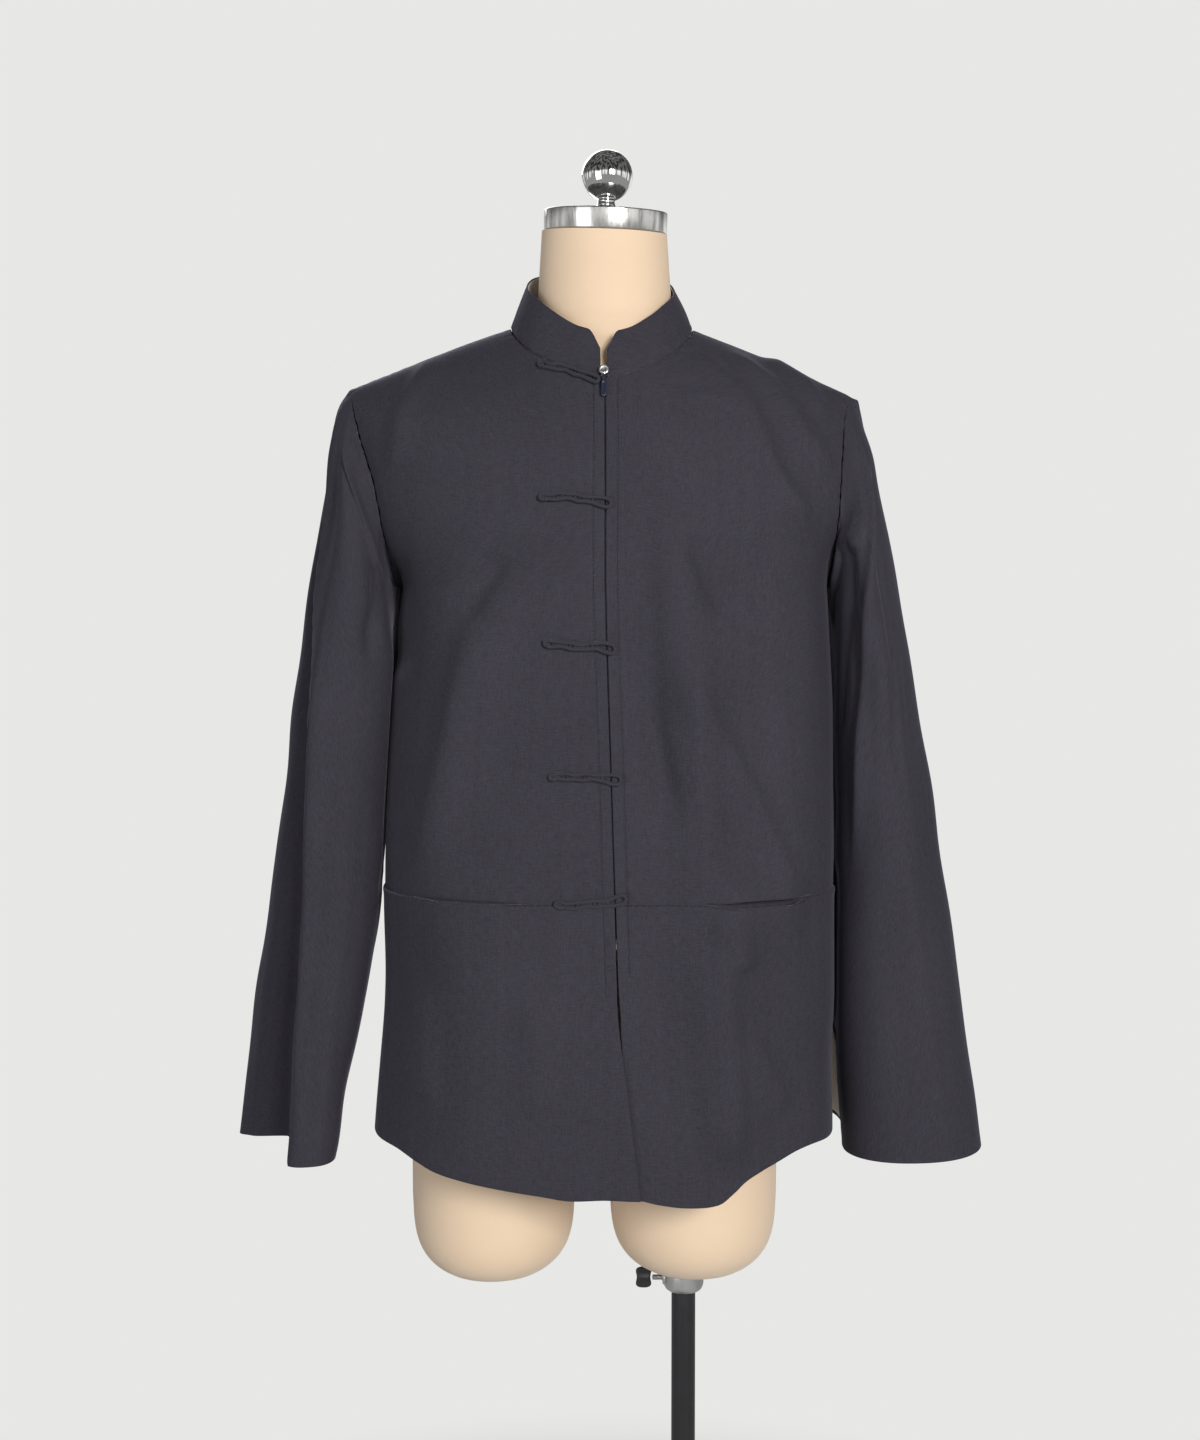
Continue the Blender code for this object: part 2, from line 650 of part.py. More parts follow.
def offset_grid(grid, distance_at, side_column=None, side=None):
    """Grid moved out along its own normals by a distance given for each row and column."""
    moved = []
    for r, row in enumerate(grid):
        line = []
        for c, point in enumerate(row):
            up = grid[min(r + 1, len(grid) - 1)][c] - grid[max(r - 1, 0)][c]
            across = row[min(c + 1, len(row) - 1)] - row[max(c - 1, 0)]
            normal = across.cross(up).normalized()
            if normal.dot(Vector((point.x, point.y, 0))) < 0:
                normal = -normal
            if side is not None and c == side_column:
                normal = -inward_at_side(side)
            line.append(point + normal * distance_at(r, c))
        moved.append(line)
    return moved


def build_pocket(side, grid):
    """Patch panel over the lower front, from the placket to the side seam, with a gaping mouth."""
    mouth = LEVELS.index(POCKET_MOUTH_Z)
    lower = [row[1:] for row in grid[:mouth + 1]]
    middle, reach, gape = (0.132, 0.048, 0.0120) if side == "left" else (0.115, 0.055, 0.0030)

    def distance_at(r, c):
        x = abs(lower[r][c].x)
        open_share = smooth(1 - abs(x - middle) / reach)
        below = math.exp(-((POCKET_MOUTH_Z - lower[r][c].z) / 0.045)**2)
        return TRIM + GAP + 0.0001 + gape * open_share * below

    outer = offset_grid(lower, distance_at, len(lower[0]) - 1, side)
    faces = flipped(grid_triangles(len(outer), len(outer[0])), side == "right")
    seam = [[None] * len(row) for row in outer]
    for row in seam:
        row[-1] = inward_at_side(side)
    shell("pocket_" + side, flat(outer), faces, flat(seam), TRIM, CHARCOAL)


def build_slit_facing(side, grid):
    """Pale strip on the inside of the back along its side slit."""
    top = LEVELS.index(SLIT_TOP_Z)
    strip = [row[-2:] for row in grid[:top + 1]]
    inset = []
    for r, row in enumerate(strip):
        inner, outer = row
        across = (outer - inner).normalized()
        length = (outer - inner).length
        inset.append([inner + across * (length * 0.15), outer - across * 0.0012])
    inset[0] = [point + Vector((0, 0, 0.0015)) for point in inset[0]]
    inset[-1] = [point - Vector((0, 0, 0.0015)) for point in inset[-1]]
    outer_face = offset_grid(inset, lambda r, c: -(CLOTH + 2 * GAP))
    faces = flipped(grid_triangles(len(outer_face), 2), side == "left")
    none = [None] * (2 * len(outer_face))
    shell("slit_facing_" + side, flat(outer_face), faces, none, TRIM, BEIGE)


def sleeve_row(side, s):
    """Named sizes of the sleeve's section at a part s of its length, from 0 to 1."""
    table = SLEEVES[side]
    key = s * (len(table) - 1)
    values = (curve([(i, row[j]) for i, row in enumerate(table)], key) for j in range(len(SLEEVE_COLUMNS)))
    return dict(zip(SLEEVE_COLUMNS, values))


def torso_x(side, y, z):
    """Distance from the centre plane of the jacket's side at a depth y, pocket and flare included."""
    face = "front" if y < 0 else "back"
    level = min(z, ARMPIT_Z)
    half = curve(SIDES[side]["half_width"], level)
    x = half * bulge(y / curve(DEPTH[face], level))
    if y < 0:
        return x + 0.0030 * smooth((POCKET_MOUTH_Z + 0.03 - z) / 0.03)
    return x + SIDES[side]["slit_flare"] * smooth((SLIT_TOP_Z - z) / 0.09)


def tuck_share(degrees):
    """Part of the long fold's depth at an angle round the sleeve."""
    turn = (degrees + 180) % 360 - 180
    return smooth((TUCK_EDGE - turn) / 16) * smooth((turn + 50) / (TUCK_EDGE + 50))


def sleeve_point(side, s, angle):
    """Outer surface of the sleeve; angle 0 is its outer side, 90 degrees its front."""
    size = sleeve_row(side, s)
    cos, sin = math.cos(angle), math.sin(angle)
    cos = math.copysign(abs(cos)**0.9, cos)
    sin = math.copysign(abs(sin)**0.9, sin)
    half = (size["outer_x"] - size["inner_x"]) / 2
    drift = size["lean"] * size["depth"]
    width = math.sqrt(half**2 - drift**2)
    rise = (size["outer_z"] - size["inner_z"]) / 2
    x = size["inner_x"] + half + width * cos - drift * sin
    y = size["centre"] - size["depth"] * sin
    z = size["inner_z"] + rise + rise * cos
    fold = 0.0
    for degrees, spread, start, end, height in SLEEVE_FOLDS[side]:
        turn = math.degrees(angle) - degrees
        turn = (turn + 180) % 360 - 180
        along = smooth((s - start) / 0.12) * smooth((end - s) / 0.12)
        fold += height * math.exp(-(turn / spread)**2) * along
    normal = Vector((cos / max(width, 0.01), -sin / size["depth"], 0)).normalized()
    x += normal.x * fold
    tuck = TUCK_DEPTH[side] * max(0.0, s)**1.15 * tuck_share(math.degrees(angle))
    y += normal.y * fold + tuck
    z += TUCK_LIFT * tuck
    if z < ARMPIT_Z:
        clear = torso_x(side, y, z) + 0.003
        excess = x - clear
        x = clear + (excess + math.hypot(excess, 0.005)) / 2
    return Vector((SIDES[side]["sign"] * x, y, z))


def armhole_ring(side, front, back):
    """Armhole points in order of the sleeve's angle, each with its yoke angle."""
    first = len(LEVELS)
    ring = [(row[-1], yoke) for row, (_, yoke) in zip(front[first:], rows("front")[first:])]
    ring.reverse()
    ring += [(row[-1], yoke) for row, (_, yoke) in zip(back[first + 1:-1], rows("back")[first + 1:-1])]
    return ring


def build_sleeve(side, front, back):
    sign = SIDES[side]["sign"]
    ring = armhole_ring(side, front, back)
    angles = [2 * yoke for _, yoke in ring]
    bottom = angles.index(max(angles))
    angles = [a if i <= bottom else 2 * math.pi - a for i, a in enumerate(angles)]
    count = len(ring)
    grid, directions = [], []
    for r in range(SLEEVE_RINGS):
        s = r / (SLEEVE_RINGS - 1)
        hold = 1 - smooth(s / 0.16)
        line = []
        for k in range(count):
            point = sleeve_point(side, s, angles[k])
            start = sleeve_point(side, 0.0, angles[k])
            line.append(point + (ring[k][0] - start) * hold)
        grid.append(line)
        directions.append([None] * count)
    for k in range(count):
        point, yoke = ring[k]
        direction = inward_at_armhole(side, point, yoke)
        tangent = ring[(k + 1) % count][0] - ring[k - 1][0]
        away = tangent.cross(direction).normalized()
        away *= math.copysign(1.0, away.x * sign)
        grid[0][k] = point + away * GAP
        directions[0][k] = direction
    faces = flipped(grid_triangles(SLEEVE_RINGS, count, closed=True), side == "right")
    shell("sleeve_" + side, flat(grid), faces, flat(directions), CLOTH, CHARCOAL)


# --- collar ---------------------------------------------------------------------------------------

def neckline_points(fronts, backs):
    """Neckline points from the right front edge round the back to the left front edge."""
    points = []
    for side in ("right", "left"):
        half = []
        for face, grid in (("front", fronts[side]), ("back", backs[side])):
            seam = [row[0] for row, (_, yoke) in zip(grid, rows(face))
                    if yoke is not None and yoke <= neck_yoke(face) + 1e-6]
            half.append(seam if face == "front" else list(reversed(seam)))
        line = half[0][:-1] + [(half[0][-1] + half[1][0]) / 2] + half[1][1:]
        points.append(line)
    return points[0][:-1] + list(reversed(points[1]))


def collar_top(point, side_top):
    """Top edge point above a neckline point."""
    angle = math.atan2(point.x, -point.y)
    turn = abs(math.degrees(angle))
    half_x = 0.0695 if point.x < 0 else 0.0630
    half_y = 0.0690 if turn < 90 else 0.0650
    z = curve(COLLAR_TOP, turn)
    return Vector((half_x * math.sin(angle), -half_y * math.cos(angle) - 0.002, z - side_top * point.x))


def build_collar(neckline):
    middle = curve(CENTRE_LINE, NECK_FRONT_Z)
    ends = []
    for first, after, x in ((neckline[0], neckline[1], middle - COLLAR_END_GAP),
                            (neckline[-1], neckline[-2], middle + COLLAR_END_GAP)):
        ends.append(first.lerp(after, (x - first.x) / (after.x - first.x)))
    second = [ends[0].lerp(neckline[1], 0.28), ends[1].lerp(neckline[-2], 0.28)]
    base = [ends[0], second[0]] + neckline[1:-1] + [second[1], ends[1]]
    tops = [collar_top(point, 0.028) for point in base]
    tops[0].x, tops[-1].x = ends[0].x - 0.0005, ends[1].x + 0.0005
    shares = [0.0, 0.35, 0.70, 1.0]
    grid = [[] for _ in shares]
    directions = [[] for _ in shares]
    last = len(base) - 1
    for k, (low, high) in enumerate(zip(base, tops)):
        run = min((low - ends[0]).length, (low - ends[1]).length)
        corner = 0.66 + 0.34 * math.sin(math.pi / 2 * min(1.0, run / COLLAR_CORNER))
        direction = inward_at_neckline(low)
        tangent = base[min(k + 1, last)] - base[max(k - 1, 0)]
        away = tangent.cross(direction).normalized()
        away *= math.copysign(1.0, away.z)
        start = low + away * (GAP + 0.0001)
        reach = low + (high - low) * corner
        for line, row, share in zip(grid, directions, shares):
            line.append(start + (reach - start) * share)
            row.append(direction if share == 0.0 else None)
    faces = flipped(grid_triangles(len(grid), len(base)), False)
    shell("collar", flat(grid), faces, flat(directions), CLOTH, CHARCOAL)
    build_collar_facing(grid)


def build_collar_facing(grid):
    """Pale lining on the collar's inside."""
    trimmed = [row[1:-1] for row in grid[1:]]
    trimmed[-1] = [top - (top - below).normalized() * 0.0004
                   for top, below in zip(trimmed[-1], trimmed[-2])]
    inside = offset_grid(trimmed, lambda r, c: -(CLOTH + 0.0008))
    faces = grid_triangles(len(inside), len(inside[0]))
    none = [None] * (len(inside) * len(inside[0]))
    shell("collar_facing", flat(inside), faces, none, TRIM, BEIGE)


# --- zip ------------------------------------------------------------------------------------------

def zip_line():
    """Centre-front points of the rows that the zip covers, lowest first, with their normals."""
    line = []
    for level, yoke in rows("front"):
        if yoke is not None and yoke < neck_yoke("front") - 1e-6:
            continue
        z = level
        if yoke is not None:
            z = RIDGE_Z - (RIDGE_Z - ARMPIT_Z) * (1 - math.cos(yoke))
        if z < ZIP_BOTTOM_Z - 1e-6:
            continue
        z = min(z, NECK_FRONT_Z - 0.002)
        x = curve(CENTRE_LINE, z)
        _, normal, _, up = front_frame(x, min(z, NECK_FRONT_Z - 0.005))
        line.append((front_point(x, z), normal, up))
    return line


def build_zip():
    depth = CLOTH + 0.0009
    section = ((-0.0095, 0), (0.0095, 0), (0.0095, 0.0010), (0.0030, 0.0010), (0.0026, 0.0024),
               (-0.0026, 0.0024), (-0.0030, 0.0010), (-0.0095, 0.0010))
    rings = []
    for point, normal, _ in zip_line():
        rings.append([point + Vector((x, 0, 0)) - normal * (depth + d) for x, d in section])
    loft("zip_tape", rings, CHARCOAL, 0.7)


def rounded_block(name, centre, size, axes, colour, roughness, metallic=0.0, bevel=0.0006):
    """Block with rounded edges; axes are its three unit directions."""
    bm = bmesh.new()
    bmesh.ops.create_cube(bm, size=1.0)
    for vert in bm.verts:
        vert.co = Vector([c * s for c, s in zip(vert.co, size)])
    bmesh.ops.bevel(bm, geom=bm.edges[:], offset=bevel, segments=2, affect="EDGES", profile=0.5)
    turn = Matrix(axes).transposed()
    for vert in bm.verts:
        vert.co = turn @ vert.co
    obj = finish_object(name, bm, colour, roughness, metallic, sharp=50)
    obj.location = centre
    return obj


def build_zip_metal():
    x = curve(CENTRE_LINE, ZIP_BOTTOM_Z)
    point, normal, across, up = front_frame(x, ZIP_BOTTOM_Z - 0.0052)
    rounded_block("zip_box", point - normal * (CLOTH + 0.0021), (0.0075, 0.0022, 0.0090),
                  (across, -normal, up), SILVER, 0.3, 1.0)
    x = curve(CENTRE_LINE, NECK_FRONT_Z)
    neck = front_point(x, NECK_FRONT_Z)
    disc = lathe("zip_slider", ((0.0032, -0.0022), (0.0044, -0.0016), (0.0044, 0.0016), (0.0032, 0.0022)),
                 SILVER, 0.25, 1.0, steps=20)
    disc.location = (x, neck.y - 0.0012, NECK_FRONT_Z + 0.0044)
    disc.rotation_euler = (math.radians(90 - 20), 0, 0)
    build_pull(x, neck)


def build_pull(x, neck):
    """Pull tab on its hinge, lying down the front just clear of the cloth."""
    hinge = Vector((x, neck.y - 0.0054, NECK_FRONT_Z + 0.0006))
    low = front_point(x, NECK_FRONT_Z - 0.021) + Vector((0, -0.0030, 0))
    down = (low - hinge).normalized()
    out = Vector((1, 0, 0)).cross(down).normalized()
    bm = bmesh.new()
    rings = []
    for share, width, thick in ((0.0, 0.0010, 0.0008), (0.04, 0.0018, 0.0014), (0.16, 0.0018, 0.0014),
                                (0.22, 0.0013, 0.0012), (0.30, 0.0022, 0.0015), (0.94, 0.0025, 0.0015),
                                (1.0, 0.0016, 0.0009)):
        centre = down * (0.0220 * share - 0.0007)
        corners = [(1, 0.5), (0.5, 1), (-0.5, 1), (-1, 0.5), (-1, -0.5), (-0.5, -1), (0.5, -1), (1, -0.5)]
        rings.append([bm.verts.new(centre + Vector((a * width, 0, 0)) + out * (b * thick / 2))
                      for a, b in corners])
    for low_ring, high_ring in zip(rings, rings[1:]):
        for k in range(8):
            bm.faces.new((low_ring[k], low_ring[(k + 1) % 8], high_ring[(k + 1) % 8], high_ring[k]))
    bm.faces.new(list(reversed(rings[0])))
    bm.faces.new(rings[-1])
    tab = finish_object("zip_pull", bm, NAVY, 0.45)
    tab.location = hinge


# --- frogs ----------------------------------------------------------------------------------------

def frog_outline(length):
    """Closed centre line of the doubled cord: (distance along, distance across), end fold first."""
    half, loop = 0.0021, 0.0040
    points = []
    for k in range(5):
        turn = math.pi / 2 + math.pi * k / 4
        points.append((half + half * math.cos(turn), half * math.sin(turn)))
    lower = [(0.30, half), (0.55, half), (0.70, half * 1.1), (0.80, loop * 0.8), (0.90, loop)]
    points += [(length * share, -across) for share, across in lower]
    tip = length - loop
    for k in range(1, 6):
        turn = -math.pi / 2 + math.pi * k / 6
        points.append((tip + loop * math.cos(turn), loop * math.sin(turn)))
    points += [(length * share, across) for share, across in reversed(lower)]
    return points


def build_frog(number, x0, z0, x1, z1):
    length = math.hypot(x1 - x0, z1 - z0)
    cos, sin = (x1 - x0) / length, (z1 - z0) / length
    path, normals = [], []
    for along, across in frog_outline(length):
        x = x0 + along * cos - across * sin
        z = z0 + along * sin + across * cos
        point, normal, _, _ = front_frame(x, z)
        path.append(point + normal * (CORD_RADIUS + 0.0004))
        normals.append(normal)
    sides, count = 6, len(path)
    bm = bmesh.new()
    rings = []
    for k, (centre, normal) in enumerate(zip(path, normals)):
        ahead = (path[(k + 1) % count] - path[k - 1]).normalized()
        across = ahead.cross(normal).normalized()
        up = across.cross(ahead).normalized()
        rings.append([bm.verts.new(centre + CORD_RADIUS * (across * math.cos(a) + up * math.sin(a)))
                      for a in (2 * math.pi * (j + 0.5) / sides for j in range(sides))])
    for k in range(count):
        ring, after = rings[k], rings[(k + 1) % count]
        for j in range(sides):
            bm.faces.new((ring[j], ring[(j + 1) % sides], after[(j + 1) % sides], after[j]))
    finish_object("frog_%d" % number, bm, CHARCOAL, 0.7, sharp=80)


# --- dress form and stand -------------------------------------------------------------------------

def form_ring(z):
    """Closed ring of the form at a level; above the chest it follows the jacket's shoulders."""
    table = FORM_SECTIONS
    half, front, back, centre = (curve(column(table, i), z) for i in (1, 2, 3, 4))
    merge = smooth((z - 1.385) / 0.055)
    ring = []
    steps = 28
    for k in range(steps):
        angle = 2 * math.pi * k / steps
        side = "left" if math.cos(angle) >= 0 else "right"
        sign = SIDES[side]["sign"]
        lift = FORM_DROP[side]
        face_depth = front if math.sin(angle) < 0 else back
        face = "front" if math.sin(angle) < 0 else "back"
        cos, sin = math.cos(angle), math.sin(angle)
        cos = math.copysign(abs(cos)**0.93, cos)
        sin = math.copysign(abs(sin)**0.93, sin)
        reach = half
        if z > 1.33:
            reach = min(half, shoulder_x(side, z + lift))
        x = reach * abs(cos)
        if z <= ARMPIT_Z:
            y = face_depth * sin
        else:
            yoke = yoke_at(side, x, z + lift)
            share = bulge(x / (half + 0.004), 2.2)
            y = math.copysign(face_depth * share * math.sin(yoke)**YOKE_POWER[face], sin)
            if sin == 0:
                y = 0.0
        torso = Vector((centre + sign * x, y, z))
        neck = Vector((0.0595 * math.cos(angle), -0.003 + 0.056 * math.sin(angle), z))
        ring.append(torso.lerp(neck, merge))
    return ring


def neck_top_ring(share):
    """Neck ring between the collar and the tilted plane under the cap."""
    ring = []
    for point in form_ring(1.46):
        top_z = CAP_CENTRE[2] - CAP_THICKNESS / 2 - GAP - 0.0002
        x = point.x * (1 - 0.055 * share)
        y = (point.y + 0.003) * (1 - 0.04 * share)
        top = top_z + y * math.tan(CAP_TILT[0]) - x * math.tan(CAP_TILT[1])
        ring.append(Vector((x, y, 1.46 + (top - 1.46) * share)))
    return ring


def make_cutter(name, obj):
    obj.name = name
    obj.hide_render = True
    obj.display_type = "WIRE"
    return obj


def add_boolean(obj, other, operation):
    modifier = obj.modifiers.new(other.name, "BOOLEAN")
    modifier.operation = operation
    modifier.solver = "EXACT"
    modifier.object = other


def build_form():
    levels = [row[0] for row in FORM_SECTIONS] + [1.352, 1.366, 1.378, 1.390, 1.402, 1.414, 1.428, 1.444]
    rings = [form_ring(z) for z in levels]
    rings = [[Vector((p.x * 0.80 - 0.002, p.y * 0.80, 0.728)) for p in rings[0]]] + rings
    rings += [neck_top_ring(share) for share in (0.0, 0.5, 1.0)]
    form = loft("form", rings, CREAM, 0.8)
    for side, leg in LEGS.items():
        leg_rings = []
        for z, share in LEG_PROFILE:
            ring = []
            for k in range(24):
                angle = -2 * math.pi * k / 24
                ring.append(Vector((leg["x"] + leg["half"] * share * math.cos(angle),
                                    0.004 + 0.086 * share * math.sin(angle), z + leg["lift"])))
            leg_rings.append(ring)
        stub = loft("leg_" + side, leg_rings, CREAM, 0.8)
        add_boolean(form, make_cutter("leg_" + side + "_shape", stub), "UNION")
    bore_profile = ((SOCKET_RADIUS + 0.0004, 0.540), (SOCKET_RADIUS + 0.0004, SOCKET_TOP_Z + GAP),
                    (BORE_RADIUS, SOCKET_TOP_Z + GAP + 0.0001), (BORE_RADIUS, BORE_TOP_Z))
    bore = lathe("bore", bore_profile, CREAM, 0.8, 0.0)
    bore.location.x = POLE_X
    add_boolean(form, make_cutter("bore_shape", bore), "DIFFERENCE")


def build_cap():
    """Cap and ball finial, both square to the neck's tilted top."""
    axis = bpy.data.objects.new("neck_axis", None)
    bpy.context.scene.collection.objects.link(axis)
    axis.location = CAP_CENTRE
    axis.rotation_euler = CAP_TILT
    half = CAP_THICKNESS / 2
    cap = lathe("neck_cap", ((CAP_RADIUS - 0.0015, -half), (CAP_RADIUS, -half + 0.0015),
                             (CAP_RADIUS, half - 0.0015), (CAP_RADIUS - 0.0015, half)),
                STEEL, 0.35, 1.0, steps=32)
    cap.parent = axis
    centre = half + 0.0080 + BALL_RADIUS
    profile = [(0.0140, half + GAP), (0.0140, half + 0.0016), (0.0098, half + 0.0042),
               (0.0076, half + 0.0072)]
    low = math.asin(0.0076 / BALL_RADIUS)
    for k in range(1, 11):
        angle = low + (math.pi - low - 0.12) * k / 10
        profile.append((BALL_RADIUS * math.sin(angle), centre - BALL_RADIUS * math.cos(angle)))
    ball = lathe("finial", profile, SILVER, 0.08, 1.0, steps=20)
    ball.parent = axis


def build_stand():
    boss = 0.030
    base = lathe("base", ((BASE_RADIUS - 0.001, 0.0), (BASE_RADIUS, 0.001),
                          (BASE_RADIUS, BASE_THICKNESS - 0.002),
                          (BASE_RADIUS - 0.002, BASE_THICKNESS)), STEEL, 0.35, 1.0, steps=48)
    collar = lathe("base_boss", ((0.018, 0.004), (0.018, boss - 0.002), (0.016, boss)), STEEL, 0.35, 1.0)
    collar.location.x = POLE_X
    add_boolean(base, make_cutter("base_boss_shape", collar), "UNION")
    hole = lathe("base_hole", ((POLE_RADIUS + 0.0003, 0.005), (POLE_RADIUS + 0.0003, 0.05)),
                 STEEL, 0.35, 1.0)
    hole.location.x = POLE_X
    add_boolean(base, make_cutter("base_hole_shape", hole), "DIFFERENCE")
    pole = lathe("pole", ((POLE_RADIUS - 0.0005, 0.0053), (POLE_RADIUS, 0.0058),
                          (POLE_RADIUS, POLE_TOP_Z - 0.0005), (POLE_RADIUS - 0.0005, POLE_TOP_Z)),
                 BLACK, 0.4, 0.0)
    pole.location.x = POLE_X


def build_clamp():
    socket = lathe("clamp_socket", ((0.0140, SOCKET_BOTTOM_Z), (0.0165, SOCKET_BOTTOM_Z + 0.0015),
                                    (SOCKET_RADIUS, SOCKET_BOTTOM_Z + 0.0060),
                                    (SOCKET_RADIUS, SOCKET_TOP_Z - 0.0010),
                                    (SOCKET_RADIUS - 0.001, SOCKET_TOP_Z)),
                   SILVER, 0.3, 1.0, bore=BORE_RADIUS)
    socket.location.x = POLE_X
    hole = lathe("screw_hole", ((0.0031, 0.0), (0.0031, 0.03)), SILVER, 0.3, 1.0, steps=16)
    hole.rotation_euler = (0, -math.pi / 2, 0)
    hole.location = (POLE_X, 0, SCREW_Z)
    add_boolean(socket, make_cutter("screw_hole_shape", hole), "DIFFERENCE")
    screw = lathe("clamp_screw", ((0.0026, 0.0005), (0.0026, 0.0180)), STEEL, 0.3, 1.0, steps=12)
    screw.rotation_euler = (0, -math.pi / 2, 0)
    screw.location = (POLE_X - POLE_RADIUS, 0, SCREW_Z)
    axes = (Vector((1, 0, 0)), Vector((0, 1, 0)), Vector((0, 0, 1)))
    rounded_block("clamp_knob", (POLE_X - POLE_RADIUS - 0.0258, 0, SCREW_Z), (0.0150, 0.0070, 0.0196), axes,
                  BLACK, 0.4, bevel=0.0018)


def hang_on_pole():
    """Parent everything that rides on the pole to an empty on the pole's axis, in place."""
    riders = [obj for obj in bpy.data.objects
              if obj.parent is None and obj.display_type != "WIRE" and obj.name not in ("base", "pole")]
    axis = bpy.data.objects.new("pole_axis", None)
    bpy.context.scene.collection.objects.link(axis)
    axis.location = (POLE_X, 0, 0)
    for obj in riders:
        obj.parent = axis
        obj.location.x -= POLE_X


def main():
    for obj in list(bpy.data.objects):
        bpy.data.objects.remove(obj, do_unlink=True)
    fronts = {side: build_front(side) for side in SIDES}
    backs = build_back()
    for side in SIDES:
        build_pocket(side, fronts[side])
        build_slit_facing(side, backs[side])
        build_sleeve(side, fronts[side], backs[side])
    build_collar(neckline_points(fronts, backs))
    build_zip()
    build_zip_metal()
    for number, ends in enumerate(FROGS, start=1):
        build_frog(number, *ends)
    build_form()
    build_cap()
    build_stand()
    build_clamp()
    hang_on_pole()


main()
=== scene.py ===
import math

import bmesh
import bpy
import numpy as np
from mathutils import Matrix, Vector
from mathutils.bvhtree import BVHTree


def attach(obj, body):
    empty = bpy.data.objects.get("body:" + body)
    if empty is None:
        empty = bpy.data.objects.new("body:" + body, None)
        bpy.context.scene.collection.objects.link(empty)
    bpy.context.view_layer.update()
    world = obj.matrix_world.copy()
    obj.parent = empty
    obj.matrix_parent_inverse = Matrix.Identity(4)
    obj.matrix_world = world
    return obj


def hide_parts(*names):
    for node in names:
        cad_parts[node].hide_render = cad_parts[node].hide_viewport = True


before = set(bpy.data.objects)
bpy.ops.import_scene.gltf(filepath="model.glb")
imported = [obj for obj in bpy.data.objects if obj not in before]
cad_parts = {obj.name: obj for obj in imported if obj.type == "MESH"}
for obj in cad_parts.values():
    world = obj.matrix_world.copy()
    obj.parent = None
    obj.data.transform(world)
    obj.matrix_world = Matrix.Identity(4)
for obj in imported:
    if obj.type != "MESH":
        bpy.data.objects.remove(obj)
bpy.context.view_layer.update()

# --- Foot plate -----------------------------------------------------------------------------------
# Round plate of satin steel with a turned socket for the pole, welded together from underneath.
# The plate is cut from 8 mm sheet, its rim is broken with a small round, and it is brushed one way.

PLATE_RADIUS = 0.200
PLATE_THICKNESS = 0.008
BOSS_HEIGHT = 0.030
POLE_X = 0.073


def piece(name, points, faces, sharp=35):
    """Object from points and faces, doubles merged, smooth apart from its sharp edges."""
    mesh = bpy.data.meshes.new(name)
    mesh.from_pydata([tuple(p) for p in points], [], [tuple(f) for f in faces])
    bm = bmesh.new()
    bm.from_mesh(mesh)
    bmesh.ops.remove_doubles(bm, verts=bm.verts, dist=1e-6)
    bmesh.ops.recalc_face_normals(bm, faces=bm.faces)
    bm.to_mesh(mesh)
    bm.free()
    mesh.shade_smooth()
    mesh.set_sharp_from_angle(angle=math.radians(sharp))
    obj = bpy.data.objects.new(name, mesh)
    bpy.context.scene.collection.objects.link(obj)
    return obj


def turned(name, outline, centre, steps=96, tilt=(0.0, 0.0), sideways=False):
    """Turned piece from (radius, height) pairs, lowest first; sideways lays its axis along -X."""
    angles = np.linspace(0, 2 * math.pi, steps, endpoint=False)
    points = np.array([(r * math.cos(a), r * math.sin(a), h) for r, h in outline for a in angles])
    faces = [(i * steps + k, i * steps + (k + 1) % steps, (i + 1) * steps + (k + 1) % steps, (i + 1) * steps + k)
             for i in range(len(outline) - 1) for k in range(steps)]
    if sideways:
        points = points[:, (2, 1, 0)] * (-1, 1, 1)
    (cx, sx), (cy, sy) = ((math.cos(t), math.sin(t)) for t in tilt)
    lean = np.array(((cy, 0, sy), (0, 1, 0), (-sy, 0, cy))) @ np.array(((1, 0, 0), (0, cx, -sx), (0, sx, cx)))
    return piece(name, points @ lean.T + np.array(centre), faces)


def rounded(radius, low, high, corner):
    """Outline of a solid cylinder whose two rims are rounded."""
    arc = np.linspace(0, math.pi / 2, 5)
    foot_arc = [(radius - corner + corner * math.sin(a), low + corner - corner * math.cos(a)) for a in arc]
    head_arc = [(radius - corner + corner * math.cos(a), high - corner + corner * math.sin(a)) for a in arc]
    return [(0.0, low)] + foot_arc + head_arc + [(0.0, high)]


def joined(first, *others):
    """One object from several at the origin."""
    points, faces = [], []
    for obj in (first, *others):
        start = len(points)
        points += [tuple(v.co) for v in obj.data.vertices]
        faces += [tuple(start + i for i in f.vertices) for f in obj.data.polygons]
    name = first.name
    for obj in (first, *others):
        bpy.data.objects.remove(obj, do_unlink=True)
    return piece(name, points, faces)


def finish(name, roughness, metallic=0.0, **settings):
    """New material with its node tree and shader; plain values sit on the shader's own sockets."""
    material = bpy.data.materials.new(name)
    material.use_nodes = True
    shader = material.node_tree.nodes["Principled BSDF"]
    shader.inputs["Roughness"].default_value = roughness
    shader.inputs["Metallic"].default_value = metallic
    for key, value in settings.items():
        shader.inputs[key.replace("_", " ")].default_value = value
    return material, material.node_tree, shader


def node(tree, kind, links=(), **values):
    """Node with its plain inputs set by name and its (input, socket) links made."""
    made = tree.nodes.new("ShaderNode" + kind)
    for key, value in values.items():
        if hasattr(made, key):
            setattr(made, key, value)
        else:
            made.inputs[key.replace("_", " ")].default_value = value
    for key, socket in links:
        tree.links.new(socket, made.inputs[key])
    return made


